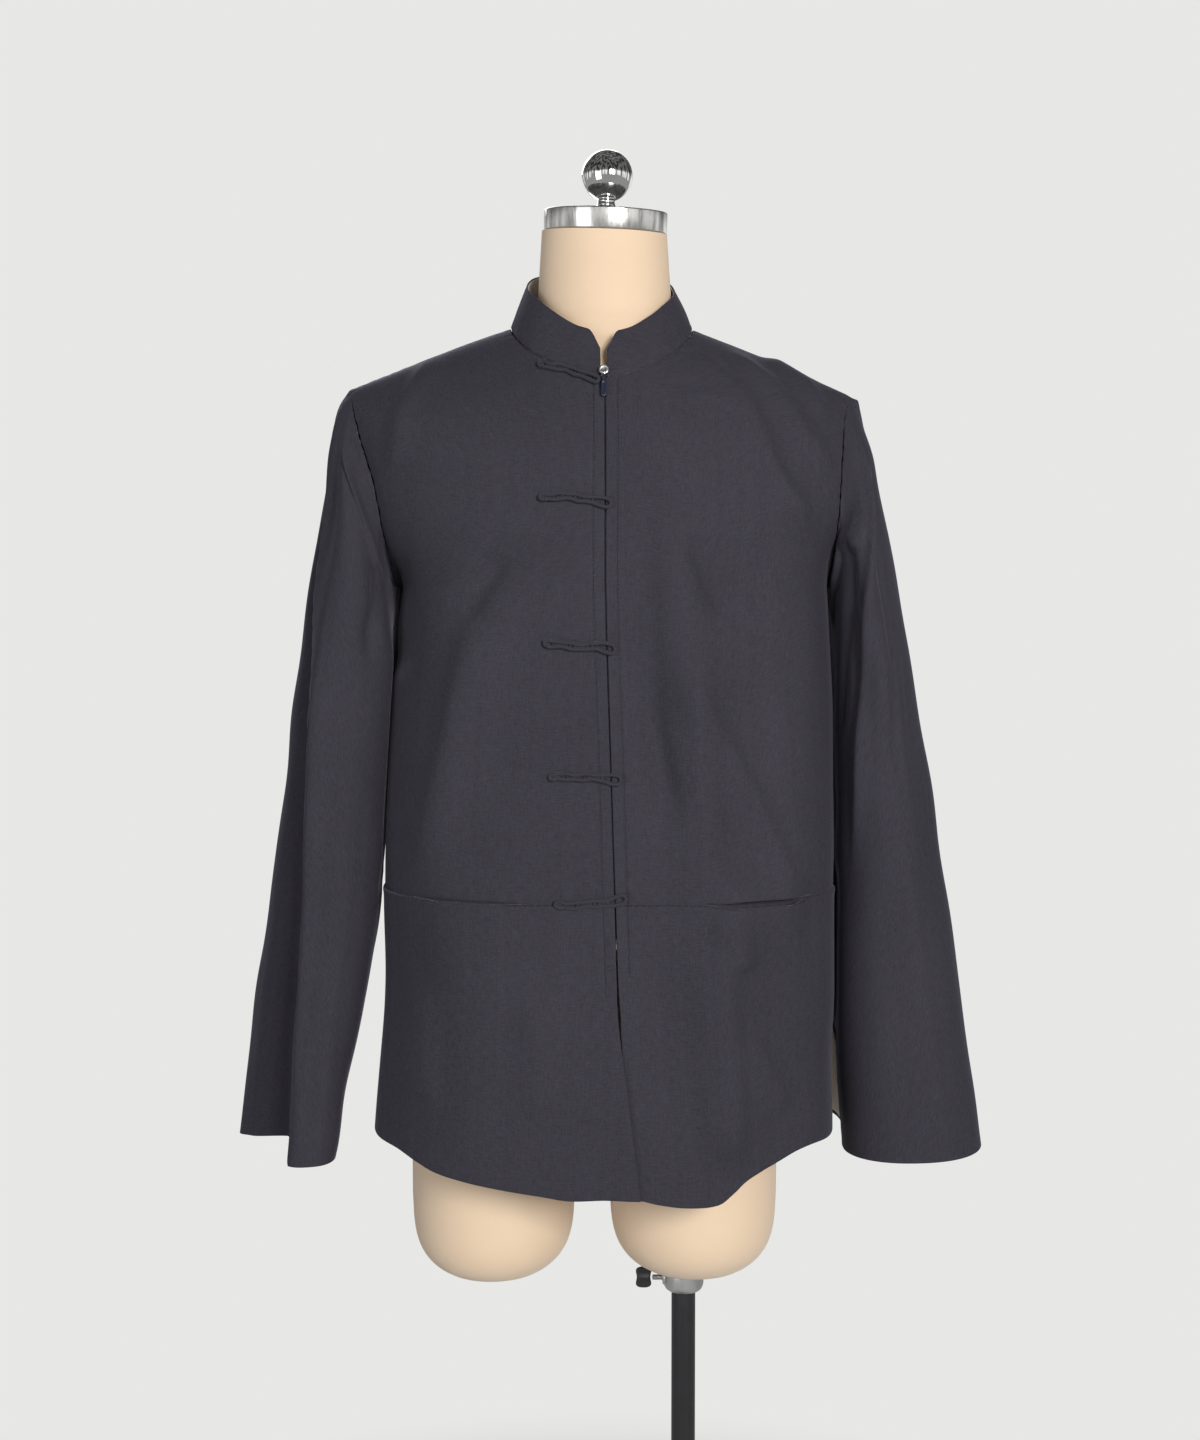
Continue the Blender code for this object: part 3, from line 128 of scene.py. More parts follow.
def tones(tree, shader, factor, dark, light):
    """Base colour that runs from one tone to another along a factor."""
    mix = node(tree, "Mix", data_type="RGBA")
    mix.inputs[6].default_value = (*dark, 1)
    mix.inputs[7].default_value = (*light, 1)
    tree.links.new(factor, mix.inputs[0])
    tree.links.new(mix.outputs[2], shader.inputs["Base Color"])


def relief(tree, shader, height, strength, distance):
    """Surface relief from a height."""
    bump = node(tree, "Bump", [("Height", height)], Strength=strength, Distance=distance)
    tree.links.new(bump.outputs["Normal"], shader.inputs["Normal"])


def brushed(name, dark, light, roughness, stretch, scale=60.0):
    """Metal with fine streaks along the axis with the smallest stretch: scratches, and on the neck cap partly painted
    reflection.
    """
    material, tree, shader = finish(name, roughness, 1.0)
    place = node(tree, "TexCoord")
    laid = node(tree, "Mapping", [("Vector", place.outputs["Object"])], Scale=stretch)
    scratches = node(tree, "TexNoise", [("Vector", laid.outputs["Vector"])], Scale=scale, Detail=6.0)
    tones(tree, shader, scratches.outputs["Fac"], dark, light)
    rough = node(tree, "MapRange", [("Value", scratches.outputs["Fac"])], To_Min=roughness - 0.10,
                 To_Max=roughness + 0.14)
    tree.links.new(rough.outputs["Result"], shader.inputs["Roughness"])
    relief(tree, shader, scratches.outputs["Fac"], 0.20, 0.0002)
    return material


def dress(obj, material, body, slot_name, *stands_for):
    """Give a finished piece its material and its body and hide the solids that it stands for; slot_name is not used.
    """
    obj.data.materials.clear()
    obj.data.materials.append(material)
    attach(obj, body)
    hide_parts(*stands_for)
    return obj


foot = turned("foot_plate", rounded(PLATE_RADIUS, 0.0, PLATE_THICKNESS, 0.0015), (0, 0, 0), steps=160)
boss = turned("foot_boss", [(0.0113, 0.0075), (0.0196, 0.0075), (0.0186, 0.0090), (0.0180, 0.0110),
                            (0.0180, BOSS_HEIGHT - 0.0020), (0.0174, BOSS_HEIGHT - 0.0005),
                            (0.0160, BOSS_HEIGHT), (0.0120, BOSS_HEIGHT), (0.0113, BOSS_HEIGHT - 0.0008),
                            (0.0113, 0.0075)], (POLE_X, 0, 0), steps=64)
foot = joined(foot, boss)
dress(foot, brushed("satin_steel", (0.42, 0.42, 0.42), (0.66, 0.66, 0.65), 0.34, (0.4, 14.0, 14.0)),
      "base", "base", "base")

# --- Pole -----------------------------------------------------------------------------------------
# Straight steel tube with a plug welded in its top, powder coated black with a fine orange peel.
# It drops into the foot's socket and can turn there.

POLE_RADIUS = 0.011
POLE_FOOT_Z = 0.0053
POLE_TOP_Z = 0.900


def coated(name, colour, lighter, roughness, grain):
    """Powder coat or moulded plastic: one colour with a fine uneven skin."""
    material, tree, shader = finish(name, roughness)
    place = node(tree, "TexCoord")
    peel = node(tree, "TexNoise", [("Vector", place.outputs["Object"])], Scale=grain, Detail=3.0)
    cloud = node(tree, "TexNoise", [("Vector", place.outputs["Object"])], Scale=grain / 14, Detail=4.0)
    tones(tree, shader, cloud.outputs["Fac"], colour, lighter)
    relief(tree, shader, peel.outputs["Fac"], 0.18, 0.0003)
    return material


pole = turned("pole_tube", rounded(POLE_RADIUS, POLE_FOOT_Z, POLE_TOP_Z, 0.0008), (POLE_X, 0, 0), steps=64)
dress(pole, coated("black_powder_coat", (0.008, 0.008, 0.010), (0.018, 0.018, 0.021), 0.36, 900.0),
      "pole", "pole", "pole")

# --- Clamp ----------------------------------------------------------------------------------------
# Cast aluminium socket pressed into the form's underside, with an ear drilled for a steel screw.
# A moulded black wing knob on the screw presses it against the pole, which sets the form's height.

SOCKET_RADIUS = 0.0185
SOCKET_LOW = 0.5515
SOCKET_HIGH = 0.5747
SCREW_Z = 0.5625
BORE = 0.0118
KNOB_X = POLE_X - POLE_RADIUS - 0.0258


def smooth(t):
    """Smooth step from 0 to 1 as t goes from 0 to 1."""
    t = np.clip(t, 0.0, 1.0)
    return t * t * (3 - 2 * t)


def wing_knob(half_x, half_y, half_z, around=40, levels=28):
    """Flat upright wing, thick at its hub, waisted beside it and rounded on every edge."""
    points = []
    for height in -np.cos(np.linspace(0, math.pi, levels + 1)):
        thick = half_y * (0.60 + 0.40 * (1 - smooth(abs(height) / 0.5))) * (1 - abs(height)**8)**0.5
        wide = half_x * (0.84 + 0.16 * smooth(abs(height) / 0.8)) * (1 - abs(height)**6)**0.5
        for a in np.linspace(0, 2 * math.pi, around, endpoint=False):
            c, s = math.cos(a), math.sin(a)
            points.append((KNOB_X + wide * math.copysign(abs(c)**0.45, c), thick * math.copysign(abs(s)**0.7, s),
                           SCREW_Z + half_z * height))
    faces = [(i * around + k, i * around + (k + 1) % around, (i + 1) * around + (k + 1) % around,
              (i + 1) * around + k) for i in range(levels) for k in range(around)]
    return piece("clamp_wing", points, faces)


socket = turned("clamp_casting", [(BORE, SOCKET_LOW + 0.0006), (BORE + 0.0006, SOCKET_LOW), (0.0138, SOCKET_LOW),
                                  (0.0150, SOCKET_LOW + 0.0004), (0.0165, SOCKET_LOW + 0.0016),
                                  (0.0176, SOCKET_LOW + 0.0036), (0.0183, SOCKET_LOW + 0.0056),
                                  (SOCKET_RADIUS, SOCKET_LOW + 0.0068), (SOCKET_RADIUS, SOCKET_HIGH - 0.0018),
                                  (0.0182, SOCKET_HIGH - 0.0007), (0.0176, SOCKET_HIGH), (BORE, SOCKET_HIGH),
                                  (BORE, SOCKET_LOW + 0.0006)], (POLE_X, 0, 0), steps=72)
ear = turned("clamp_ear", [(0.0030, 0.0), (0.0066, 0.0), (0.0066, 0.0020), (0.0060, 0.0028), (0.0040, 0.0030),
                           (0.0030, 0.0028), (0.0030, 0.0)],
             (POLE_X - SOCKET_RADIUS + 0.0020, 0, SCREW_Z), steps=32, sideways=True)
dress(joined(socket, ear), brushed("cast_aluminium", (0.50, 0.50, 0.49), (0.70, 0.70, 0.69), 0.38, (6.0, 6.0, 1.0)),
      "form", "socket", "clamp_socket")

thread = [(r, 0.0006 + 0.00065 * turn + step) for turn in range(26) for r, step in ((0.00225, 0), (0.0026, 0.00032))]
screw = turned("clamp_thread", [(0.0, 0.0003)] + thread + [(0.0, 0.0181)],
               (POLE_X - POLE_RADIUS, 0, SCREW_Z), steps=28, sideways=True)
dress(screw, brushed("bright_steel", (0.45, 0.45, 0.45), (0.72, 0.72, 0.71), 0.26, (1.0, 1.0, 1.0)),
      "knob", "screw", "clamp_screw")

dress(wing_knob(0.0075, 0.0035, 0.0098), coated("black_moulding", (0.010, 0.010, 0.011), (0.024, 0.024, 0.026),
                                                0.42, 1400.0), "knob", "knob", "clamp_knob")

# --- Dress form -----------------------------------------------------------------------------------
# Half body of moulded foam from the neck to two short leg stubs, with a hole up through the left
# stub for the pole. A cream jersey cover is pulled over it and glued under the neck cap.

SOCKET_SEAT = SOCKET_HIGH + 0.0003
BORE_TOP_Z = 1.020
FORM_LEVELS = 74
FORM_STEPS = 112
SECTION_POWER = 2.4
ARMPIT_Z = 1.197
RIDGE_Z = 1.4475
RIDGE_CROWN = 0.0028
SHOULDER = {"right": (0.2300, 1.3745), "left": (0.2290, 1.3655)}
YOKE_POWER = {"front": 1.05, "back": 0.75}
FORM_DROP = {"right": 0.0020, "left": 0.0027}
CAP_THICKNESS = 0.0185
CAP_CENTRE = (0.001, 0.0, 1.525)
CAP_TILT = (math.radians(8.5), math.radians(2.0))
# (height, half width, depth to the front, depth to the back, centre)
FORM_SECTIONS = (
    (0.745, 0.1720, 0.0980, 0.1080, -0.0090), (0.770, 0.1755, 0.1030, 0.1130, -0.0090),
    (0.800, 0.1760, 0.1060, 0.1170, -0.0090), (0.840, 0.1720, 0.1070, 0.1160, -0.0080),
    (0.900, 0.1610, 0.1050, 0.1060, -0.0060), (0.970, 0.1500, 0.1020, 0.0950, -0.0040),
    (1.040, 0.1490, 0.1020, 0.0920, -0.0020), (1.120, 0.1580, 0.1100, 0.1010, 0.0),
    (1.197, 0.1660, 0.1160, 0.1080, 0.0), (1.250, 0.1780, 0.1170, 0.1090, 0.0),
    (1.300, 0.1900, 0.1180, 0.1100, 0.0), (1.335, 0.1960, 0.1180, 0.1100, 0.0),
)
LEGS = {"right": (-0.1017, 0.0745, 0.0), "left": (0.0815, 0.0765, 0.0020)}
LEG_OUTLINE = ((0.785, 0.97), (0.740, 1.0), (0.690, 1.0), (0.645, 1.0), (0.625, 0.988), (0.610, 0.962),
               (0.598, 0.912), (0.588, 0.830), (0.580, 0.715), (0.575, 0.590), (0.572, 0.450),
               (0.5705, 0.300), (0.570, 0.0))


def curve(table, key, column=1):
    """Smooth values at keys from a table whose first column is the key, flat beyond both ends."""
    xs = np.array([row[0] for row in table], float)
    vs = np.array([row[column] for row in table], float)
    key = np.clip(key, xs[0], xs[-1])
    low, high = np.r_[0, 0:len(xs) - 1], np.r_[1:len(xs), len(xs) - 1]
    slope = (vs[high] - vs[low]) / (xs[high] - xs[low])
    i = np.clip(np.searchsorted(xs, key, side="right") - 1, 0, len(xs) - 2)
    span = xs[i + 1] - xs[i]
    t = (key - xs[i]) / span
    return ((2 * t**3 - 3 * t**2 + 1) * vs[i] + (t**3 - 2 * t**2 + t) * slope[i] * span
            + (3 * t**2 - 2 * t**3) * vs[i + 1] + (t**3 - t**2) * slope[i + 1] * span)


def bulge(ratio, power=SECTION_POWER):
    """Depth of a rounded section at a part of its half width."""
    return np.maximum(0.0, 1 - np.minimum(1.0, np.abs(ratio))**power)**(1 / power)


def shoulder_z(side, x):
    """Height of the shoulder seam at a distance from the centre plane."""
    end_x, end_z = SHOULDER[side]
    slope = (RIDGE_Z - end_z) / (math.hypot(end_x, 0.03) - 0.03)
    share = np.minimum(1.0, np.abs(x) / end_x)
    return RIDGE_Z - slope * (np.hypot(x, 0.03) - 0.03) + 4 * RIDGE_CROWN * share * (1 - share)


def shoulder_x(side, z):
    """Distance from the centre plane at which the shoulder seam falls to a height."""
    reach = np.linspace(0.0, 0.3, 3001)
    return float(np.interp(-z, -shoulder_z(side, reach), reach))


def yoke_at(side, x, z):
    """Turn from the shoulder seam, 0, to the level of the armpit, a quarter turn, at x and z."""
    ridge = shoulder_z(side, x)
    return np.arccos(np.clip(1 - (ridge - z) / (ridge - ARMPIT_Z), -1.0, 1.0))


def form_ring(z):
    """Closed ring of the form at a height; above the chest it follows the jacket's shoulders."""
    half, front, back, centre = (float(curve(FORM_SECTIONS, z, i)) for i in (1, 2, 3, 4))
    ring = []
    for angle in np.linspace(0, 2 * math.pi, FORM_STEPS, endpoint=False):
        side = "left" if math.cos(angle) >= 0 else "right"
        face, depth = ("front", front) if math.sin(angle) < 0 else ("back", back)
        c = math.copysign(abs(math.cos(angle))**0.93, math.cos(angle))
        s = math.copysign(abs(math.sin(angle))**0.93, math.sin(angle))
        reach = min(half, shoulder_x(side, z + FORM_DROP[side])) if z > 1.33 else half
        y = depth * s
        if z > ARMPIT_Z:
            yoke = float(yoke_at(side, reach * abs(c), z + FORM_DROP[side]))
            share = float(bulge(reach * c / (half + 0.004), 2.2))
            y = math.copysign(depth * share * math.sin(yoke)**YOKE_POWER[face], s)
        torso = np.array((centre + reach * c, y, z))
        neck = np.array((0.0595 * math.cos(angle), -0.003 + 0.056 * math.sin(angle), z))
        ring.append(torso + (neck - torso) * float(smooth((z - 1.385) / 0.055)))
    return np.array(ring)


def neck_rings():
    """Rings from above the collar's foot to the tilted plane under the cap."""
    low, rings = form_ring(1.46), []
    for share in np.linspace(0, 1, 9):
        x, y = low[:, 0] * (1 - 0.055 * share), (low[:, 1] + 0.003 * share) * (1 - 0.04 * share)
        top = CAP_CENTRE[2] - CAP_THICKNESS / 2 - 0.0005 + y * math.tan(CAP_TILT[0]) - x * math.tan(CAP_TILT[1])
        rings.append(np.stack((x, y, 1.46 + (top - 1.46) * share), 1))
    return rings


def lofted(name, rings):
    """Closed piece through rings of points, its two ends drawn in to a flat cap."""
    caps = [rings[0].mean(0) + (rings[0] - rings[0].mean(0)) * s for s in (0.0, 0.5)]
    lids = [rings[-1].mean(0) + (rings[-1] - rings[-1].mean(0)) * s for s in (0.5, 0.0)]
    rows = caps + list(rings) + lids
    count = len(rings[0])
    faces = [(i * count + k, i * count + (k + 1) % count, (i + 1) * count + (k + 1) % count, (i + 1) * count + k)
             for i in range(len(rows) - 1) for k in range(count)]
    return piece(name, np.concatenate(rows), faces, sharp=60)


def cut_with(obj, tool, operation):
    """Join or cut a piece with another and drop the other."""
    modifier = obj.modifiers.new("cut", "BOOLEAN")
    modifier.operation, modifier.solver, modifier.object = operation, "EXACT", tool
    result = bpy.data.meshes.new_from_object(obj.evaluated_get(bpy.context.evaluated_depsgraph_get()))
    obj.modifiers.clear()
    obj.data = result
    bpy.data.objects.remove(tool, do_unlink=True)


def jersey():
    """Cream jersey: a fine knit of wales and courses, a little fluff, and a faint warm unevenness."""
    material, tree, shader = finish("cream_jersey", 0.82, Sheen_Weight=0.25, Sheen_Roughness=0.5)
    place = node(tree, "TexCoord")
    knit = node(tree, "Mapping", [("Vector", place.outputs["Object"])], Scale=(1.0, 1.0, 0.7))
    loops = node(tree, "TexVoronoi", [("Vector", knit.outputs["Vector"])], Scale=950.0)
    cloud = node(tree, "TexNoise", [("Vector", place.outputs["Object"])], Scale=9.0, Detail=4.0)
    tones(tree, shader, cloud.outputs["Fac"], (0.665, 0.500, 0.345), (0.75, 0.582, 0.425))
    relief(tree, shader, loops.outputs["Distance"], 0.22, 0.0005)
    return material


levels = np.unique(np.r_[np.linspace(0.745, 1.44, FORM_LEVELS), np.linspace(1.385, 1.44, 14)])
rings = [form_ring(z) for z in levels]
foot_rings = [np.c_[rings[0][:, :2] * (0.80 + 0.20 * s**0.5) - (0.002 * (1 - s), 0),
                    np.full(FORM_STEPS, 0.728 + 0.017 * s)]
              for s in (0.0, 0.15, 0.4, 0.7)]
torso = lofted("form_cover", foot_rings + rings + neck_rings())
for leg_x, leg_half, leg_lift in LEGS.values():
    turns = np.linspace(0, 2 * math.pi, 96, endpoint=False)
    heights = np.r_[np.linspace(0.785, 0.625, 9), 0.570 + 0.055 * np.cos(np.linspace(0.2, math.pi / 2, 22))]
    stub_rings = [np.c_[leg_x + leg_half * curve(LEG_OUTLINE[::-1], z) * np.cos(turns),
                        0.004 + 0.086 * curve(LEG_OUTLINE[::-1], z) * np.sin(turns),
                        np.full(96, z + leg_lift)] for z in heights]
    cut_with(torso, lofted("stub", stub_rings), "UNION")
bore = turned("bore", [(0.0, 0.540), (SOCKET_RADIUS + 0.0004, 0.540), (SOCKET_RADIUS + 0.0004, SOCKET_SEAT),
                       (BORE, SOCKET_SEAT + 0.0001), (BORE, BORE_TOP_Z), (0.0, BORE_TOP_Z)], (POLE_X, 0, 0), steps=64)
cut_with(torso, bore, "DIFFERENCE")
torso.data.shade_smooth()
torso.data.set_sharp_from_angle(angle=math.radians(50))
dress(torso, jersey(), "form", "form_cover", "form")

# --- Neck cap and ball ----------------------------------------------------------------------------
# Brushed steel cap screwed down on the neck's slanting top, its rims broken with a fine round, and
# a chromed ball on a small turned foot screwed into its middle.

CAP_RADIUS = 0.0553
BALL_RADIUS = 0.0227

half = CAP_THICKNESS / 2
cap = turned("cap_disc", rounded(CAP_RADIUS, -half, half, 0.0012), CAP_CENTRE, steps=128, tilt=CAP_TILT)
# The cap's colour runs in light and dark upright streaks: its brushing, and partly painted reflection of the room's
# bright and dark bands.
dress(cap, brushed("brushed_steel_and_painted_reflection", (0.52, 0.52, 0.51), (0.74, 0.73, 0.71), 0.20, (10.0, 10.0, 0.35)),
      "form", "cap_steel", "neck_cap")

neck_angle = math.asin(0.0076 / BALL_RADIUS)
ball_z = half + 0.0080 + BALL_RADIUS
ball_outline = [(0.0, half + 0.0002), (0.0136, half + 0.0002), (0.0140, half + 0.0006), (0.0140, half + 0.0014),
                (0.0128, half + 0.0024), (0.0104, half + 0.0036), (0.0086, half + 0.0050), (0.0077, half + 0.0068)]
ball_outline += [(BALL_RADIUS * math.sin(a), ball_z - BALL_RADIUS * math.cos(a))
                 for a in np.linspace(neck_angle, math.pi, 44)]
ball = turned("ball_finial", ball_outline, CAP_CENTRE, steps=96, tilt=CAP_TILT)
chrome, chrome_tree, chrome_shader = finish("polished_chrome", 0.05, 1.0)
chrome_place = node(chrome_tree, "TexCoord")
wipe = node(chrome_tree, "TexNoise", [("Vector", chrome_place.outputs["Object"])], Scale=120.0, Detail=4.0)
tones(chrome_tree, chrome_shader, wipe.outputs["Fac"], (0.66, 0.66, 0.66), (0.80, 0.80, 0.80))
haze = node(chrome_tree, "MapRange", [("Value", wipe.outputs["Fac"])], To_Min=0.03, To_Max=0.10)
chrome_tree.links.new(haze.outputs["Result"], chrome_shader.inputs["Roughness"])
dress(ball, chrome, "form", "finial", "finial")

# --- Back panel -----------------------------------------------------------------------------------
# One piece of charcoal plain weave from hem to shoulders, cut whole, its hem turned up inside and
# blind stitched. It is seamed to the fronts at the shoulders and down the sides as far as the slits.

CLOTH = 0.0009
SEAM_GAP = 0.0003
HEM_Z = 0.684
BACK_HEM_RISE = 0.022
SLIT_TOP_Z = 0.836
NECK_Z = {"front": 1.375, "back": 1.424}
# armhole: (turn from the shoulder in degrees, x); half_width: (z, x); hem: (x, z)
SIDES = {
    "right": {
        "sign": -1, "neck_x": 0.084, "slit_flare": 0.002,
        "armhole": ((0, 0.2300), (25, 0.2240), (46, 0.2135), (63, 0.2000), (80, 0.1915), (90, 0.1865)),
        "half_width": ((0.684, 0.2078), (0.771, 0.2018), (0.845, 0.1978), (0.912, 0.1984),
                       (0.965, 0.1975), (1.0955, 0.1923), (1.197, 0.1865)),
        "hem": ((0.0, 0.6825), (0.030, 0.6815), (0.054, 0.6850), (0.088, 0.6890), (0.124, 0.6935),
                (0.146, 0.6975), (0.162, 0.7035), (0.180, 0.7100), (0.205, 0.7115)),
    },
    "left": {
        "sign": 1, "neck_x": 0.079, "slit_flare": 0.0085,
        "armhole": ((0, 0.2290), (15, 0.2200), (30, 0.2130), (52, 0.2075), (74, 0.2030), (90, 0.2000)),
        "half_width": ((0.684, 0.2105), (0.783, 0.2071), (0.9125, 0.2070), (1.0955, 0.2056), (1.197, 0.2000)),
        "hem": ((0.0, 0.6825), (0.026, 0.6825), (0.046, 0.6780), (0.070, 0.6745), (0.096, 0.6755),
                (0.109, 0.6845), (0.119, 0.6935), (0.132, 0.7005), (0.147, 0.7065), (0.165, 0.7125),
                (0.184, 0.7140), (0.210, 0.7100)),
    },
}
DEPTH = {
    "front": ((0.684, 0.150), (0.830, 0.148), (0.930, 0.146), (1.040, 0.141), (1.150, 0.136), (1.197, 0.132)),
    "back": ((0.684, 0.136), (0.830, 0.129), (0.930, 0.120), (1.040, 0.114), (1.150, 0.119), (1.197, 0.122)),
}
# Centre-front line: (z, x)
CENTRE_LINE = ((0.684, 0.0269), (0.826, 0.0127), (0.930, 0.0085), (1.037, 0.0051), (1.149, 0.0018),
               (1.267, 0.0008), (1.375, -0.0008))
# Large soft folds: (x and z of one end, x and z of the other, half width, height)
FOLDS = {
    "front": ((0.066, 1.235, 0.080, 1.115, 0.026, 0.0060), (0.080, 1.115, 0.088, 0.940, 0.026, 0.0070),
              (0.098, 0.900, 0.113, 0.730, 0.028, 0.0070), (0.083, 1.225, 0.112, 1.170, 0.020, -0.0045),
              (0.022, 1.140, 0.058, 1.010, 0.022, -0.0045), (0.158, 1.080, 0.172, 0.960, 0.022, 0.0040),
              (0.040, 0.870, 0.046, 0.770, 0.024, -0.0040), (-0.105, 1.175, -0.145, 1.000, 0.030, 0.0050),
              (-0.088, 1.215, -0.115, 1.170, 0.020, -0.0040), (-0.120, 0.880, -0.112, 0.740, 0.030, 0.0040)),
    "back": ((0.070, 1.150, 0.060, 0.930, 0.030, 0.0050), (-0.075, 1.130, -0.080, 0.900, 0.030, 0.0050),
             (-0.010, 0.980, 0.000, 0.760, 0.032, -0.0050), (0.115, 0.900, 0.125, 0.740, 0.028, 0.0050)),
}
# Creases: (points in x and z, width on the left of their run, width on its right, height)
CREASES = {
    "front": (
        (((0.076, 1.405), (0.124, 1.347), (0.145, 1.290), (0.186, 1.236)), 0.0085, 0.0200, 0.0070),
        (((0.098, 1.408), (0.144, 1.372), (0.177, 1.322), (0.200, 1.288)), 0.0085, 0.0150, 0.0060),
        (((0.140, 1.407), (0.177, 1.375), (0.196, 1.337)), 0.0085, 0.0112, 0.0044),
        (((0.060, 1.250), (0.070, 1.113), (0.079, 1.030), (0.083, 0.930)), 0.0150, 0.0275, 0.0060),
        (((0.094, 0.900), (0.105, 0.787), (0.109, 0.700)), 0.0120, 0.0260, 0.0085),
        (((0.071, 1.243), (0.101, 1.170)), 0.0088, 0.0100, -0.0048),
        (((0.008, 1.150), (0.042, 1.071), (0.058, 1.000)), 0.0085, 0.0175, -0.0044),
        (((0.066, 1.122), (0.096, 1.071), (0.131, 1.007), (0.165, 0.930)), 0.0085, 0.0137, 0.0052),
        (((0.098, 0.925), (0.120, 0.870)), 0.0085, 0.0125, 0.0044),
        (((0.118, 0.822), (0.156, 0.745)), 0.0085, 0.0150, 0.0044),
        (((0.032, 0.890), (0.040, 0.760)), 0.0125, 0.0200, -0.0055),
        (((-0.100, 1.185), (-0.126, 1.091), (-0.148, 0.997), (-0.163, 0.930)), 0.0225, 0.0125, 0.0062),
        (((-0.084, 1.222), (-0.120, 1.168)), 0.0088, 0.0175, -0.0044),
        (((-0.157, 0.860), (-0.150, 0.745)), 0.0125, 0.0200, 0.0040),
        (((-0.150, 1.405), (-0.176, 1.350), (-0.183, 1.290)), 0.0125, 0.0085, 0.0032),
        (((-0.188, 1.230), (-0.174, 1.168), (-0.184, 1.110)), 0.0150, 0.0150, -0.0060),
        (((-0.060, 0.860), (-0.052, 0.740)), 0.0175, 0.0125, 0.0028),
    ),
    "back": (
        (((0.190, 1.260), (0.150, 1.190), (0.110, 1.090)), 0.0085, 0.0187, 0.0054),
        (((0.195, 1.310), (0.165, 1.240), (0.150, 1.170)), 0.0085, 0.0137, 0.0039),
        (((-0.185, 1.265), (-0.150, 1.200), (-0.118, 1.100)), 0.0175, 0.0085, 0.0054),
        (((-0.190, 1.320), (-0.160, 1.262), (-0.140, 1.195)), 0.0125, 0.0085, 0.0036),
        (((0.062, 1.170), (0.050, 1.020), (0.058, 0.900), (0.070, 0.760)), 0.0125, 0.0225, 0.0048),
        (((-0.070, 1.140), (-0.085, 0.990), (-0.080, 0.830)), 0.0225, 0.0112, 0.0048),
        (((-0.020, 1.400), (0.000, 1.350), (0.034, 1.328)), 0.0085, 0.0125, -0.0027),
        (((0.120, 0.945), (0.150, 0.840), (0.158, 0.740)), 0.0088, 0.0163, 0.0039),
        (((-0.130, 0.915), (-0.150, 0.800), (-0.146, 0.715)), 0.0163, 0.0088, 0.0039),
        (((0.000, 0.960), (0.012, 0.800), (0.006, 0.700)), 0.0200, 0.0200, -0.0033),
    ),
}
ROW_LEVELS = (0.684, 0.720, 0.760, 0.800, 0.836, 0.864, 0.893, 0.9246, 0.9282, 0.9300, 0.9330, 0.9400, 0.960, 1.000,
              1.040, 1.080, 1.120,
              1.160, 1.197)
ROW_TURNS = {"front": (90, 80, 70, 61, 53, 44.7, 44.2, 43, 41, 38, 33, 27, 19, 9.5, 0),
             "back": (90, 79, 68, 57, 47, 38, 31, 25.0, 24.5, 23.3, 21, 17, 12, 6, 0)}
ROWS_EACH = 8
POCKET_ROW = ROW_LEVELS.index(0.9300) * ROWS_EACH
SLIT_ROW = ROW_LEVELS.index(SLIT_TOP_Z) * ROWS_EACH
HALF_COLUMNS = 84


def centre_x(z):
    return curve(CENTRE_LINE, z)


def armhole_x(side, yoke):
    return curve(SIDES[side]["armhole"], np.degrees(yoke))


def half_width(side, level, yoke):
    """Half width of the jacket's section; above the armpit it runs a little past the armhole."""
    above = armhole_x(side, yoke) / (1 - 0.1 * smooth((math.pi / 2 - yoke) / math.radians(25)))
    return np.where(yoke < math.pi / 2, above, curve(SIDES[side]["half_width"], level))


def jacket_points(side, face, x, level, yoke):
    """Outside of the jacket at x from the centre plane, by level up to the armpit and by turn above."""
    x, level, yoke = np.broadcast_arrays(np.asarray(x, float), level, yoke)
    sign = SIDES[side]["sign"]
    half = half_width(side, level, yoke)
    hem = curve(SIDES[side]["hem"], x) - HEM_Z if face == "front" else BACK_HEM_RISE * smooth(np.abs(x) / 0.2)
    low = level + hem * smooth((SLIT_TOP_Z - level) / (SLIT_TOP_Z - HEM_Z))
    ridge = shoulder_z(side, x)
    z = np.where(yoke < math.pi / 2, ridge - (ridge - ARMPIT_Z) * (1 - np.cos(yoke)), low)
    edge = smooth((half - np.abs(x)) / 0.025) * smooth((ridge - z) / 0.06)
    if face == "front":
        edge = edge * smooth(np.abs(x - sign * centre_x(z)) / 0.05)
    fold = 0.0
    for x0, z0, x1, z1, width, height in FOLDS[face]:
        along = ((sign * x - x0) * (x1 - x0) + (z - z0) * (z1 - z0)) / ((x1 - x0)**2 + (z1 - z0)**2)
        along = np.clip(along, 0.0, 1.0)
        gap = np.hypot(sign * x - x0 - along * (x1 - x0), z - z0 - along * (z1 - z0))
        fold = fold + height * np.exp(-(gap / width)**2)
    turn = np.sin(yoke)**YOKE_POWER[face]
    y = curve(DEPTH[face], level) * bulge(x / half) * turn + fold * edge + SEAM_GAP / 2
    return np.stack((sign * x, -y if face == "front" else y, z), -1)


def refined(values):
    """The values with ROWS_EACH steps between each two."""
    places = np.linspace(0, len(values) - 1, (len(values) - 1) * ROWS_EACH + 1)
    return np.interp(places, np.arange(len(values)), values)


LEVELS = np.r_[refined(ROW_LEVELS), refined(ROW_TURNS["front"])[1:] * 0 + ARMPIT_Z]
YOKES = {face: np.radians(np.r_[refined(ROW_LEVELS) * 0 + 90, refined(turns)[1:]])
         for face, turns in ROW_TURNS.items()}


def neckline_z(side, face, x):
    """Height of the neckline at a distance from the centre plane."""
    neck_x = SIDES[side]["neck_x"]
    side_z = shoulder_z(side, neck_x)
    return side_z - (side_z - NECK_Z[face]) * bulge(x / neck_x, 1.7 if face == "front" else 2.0)


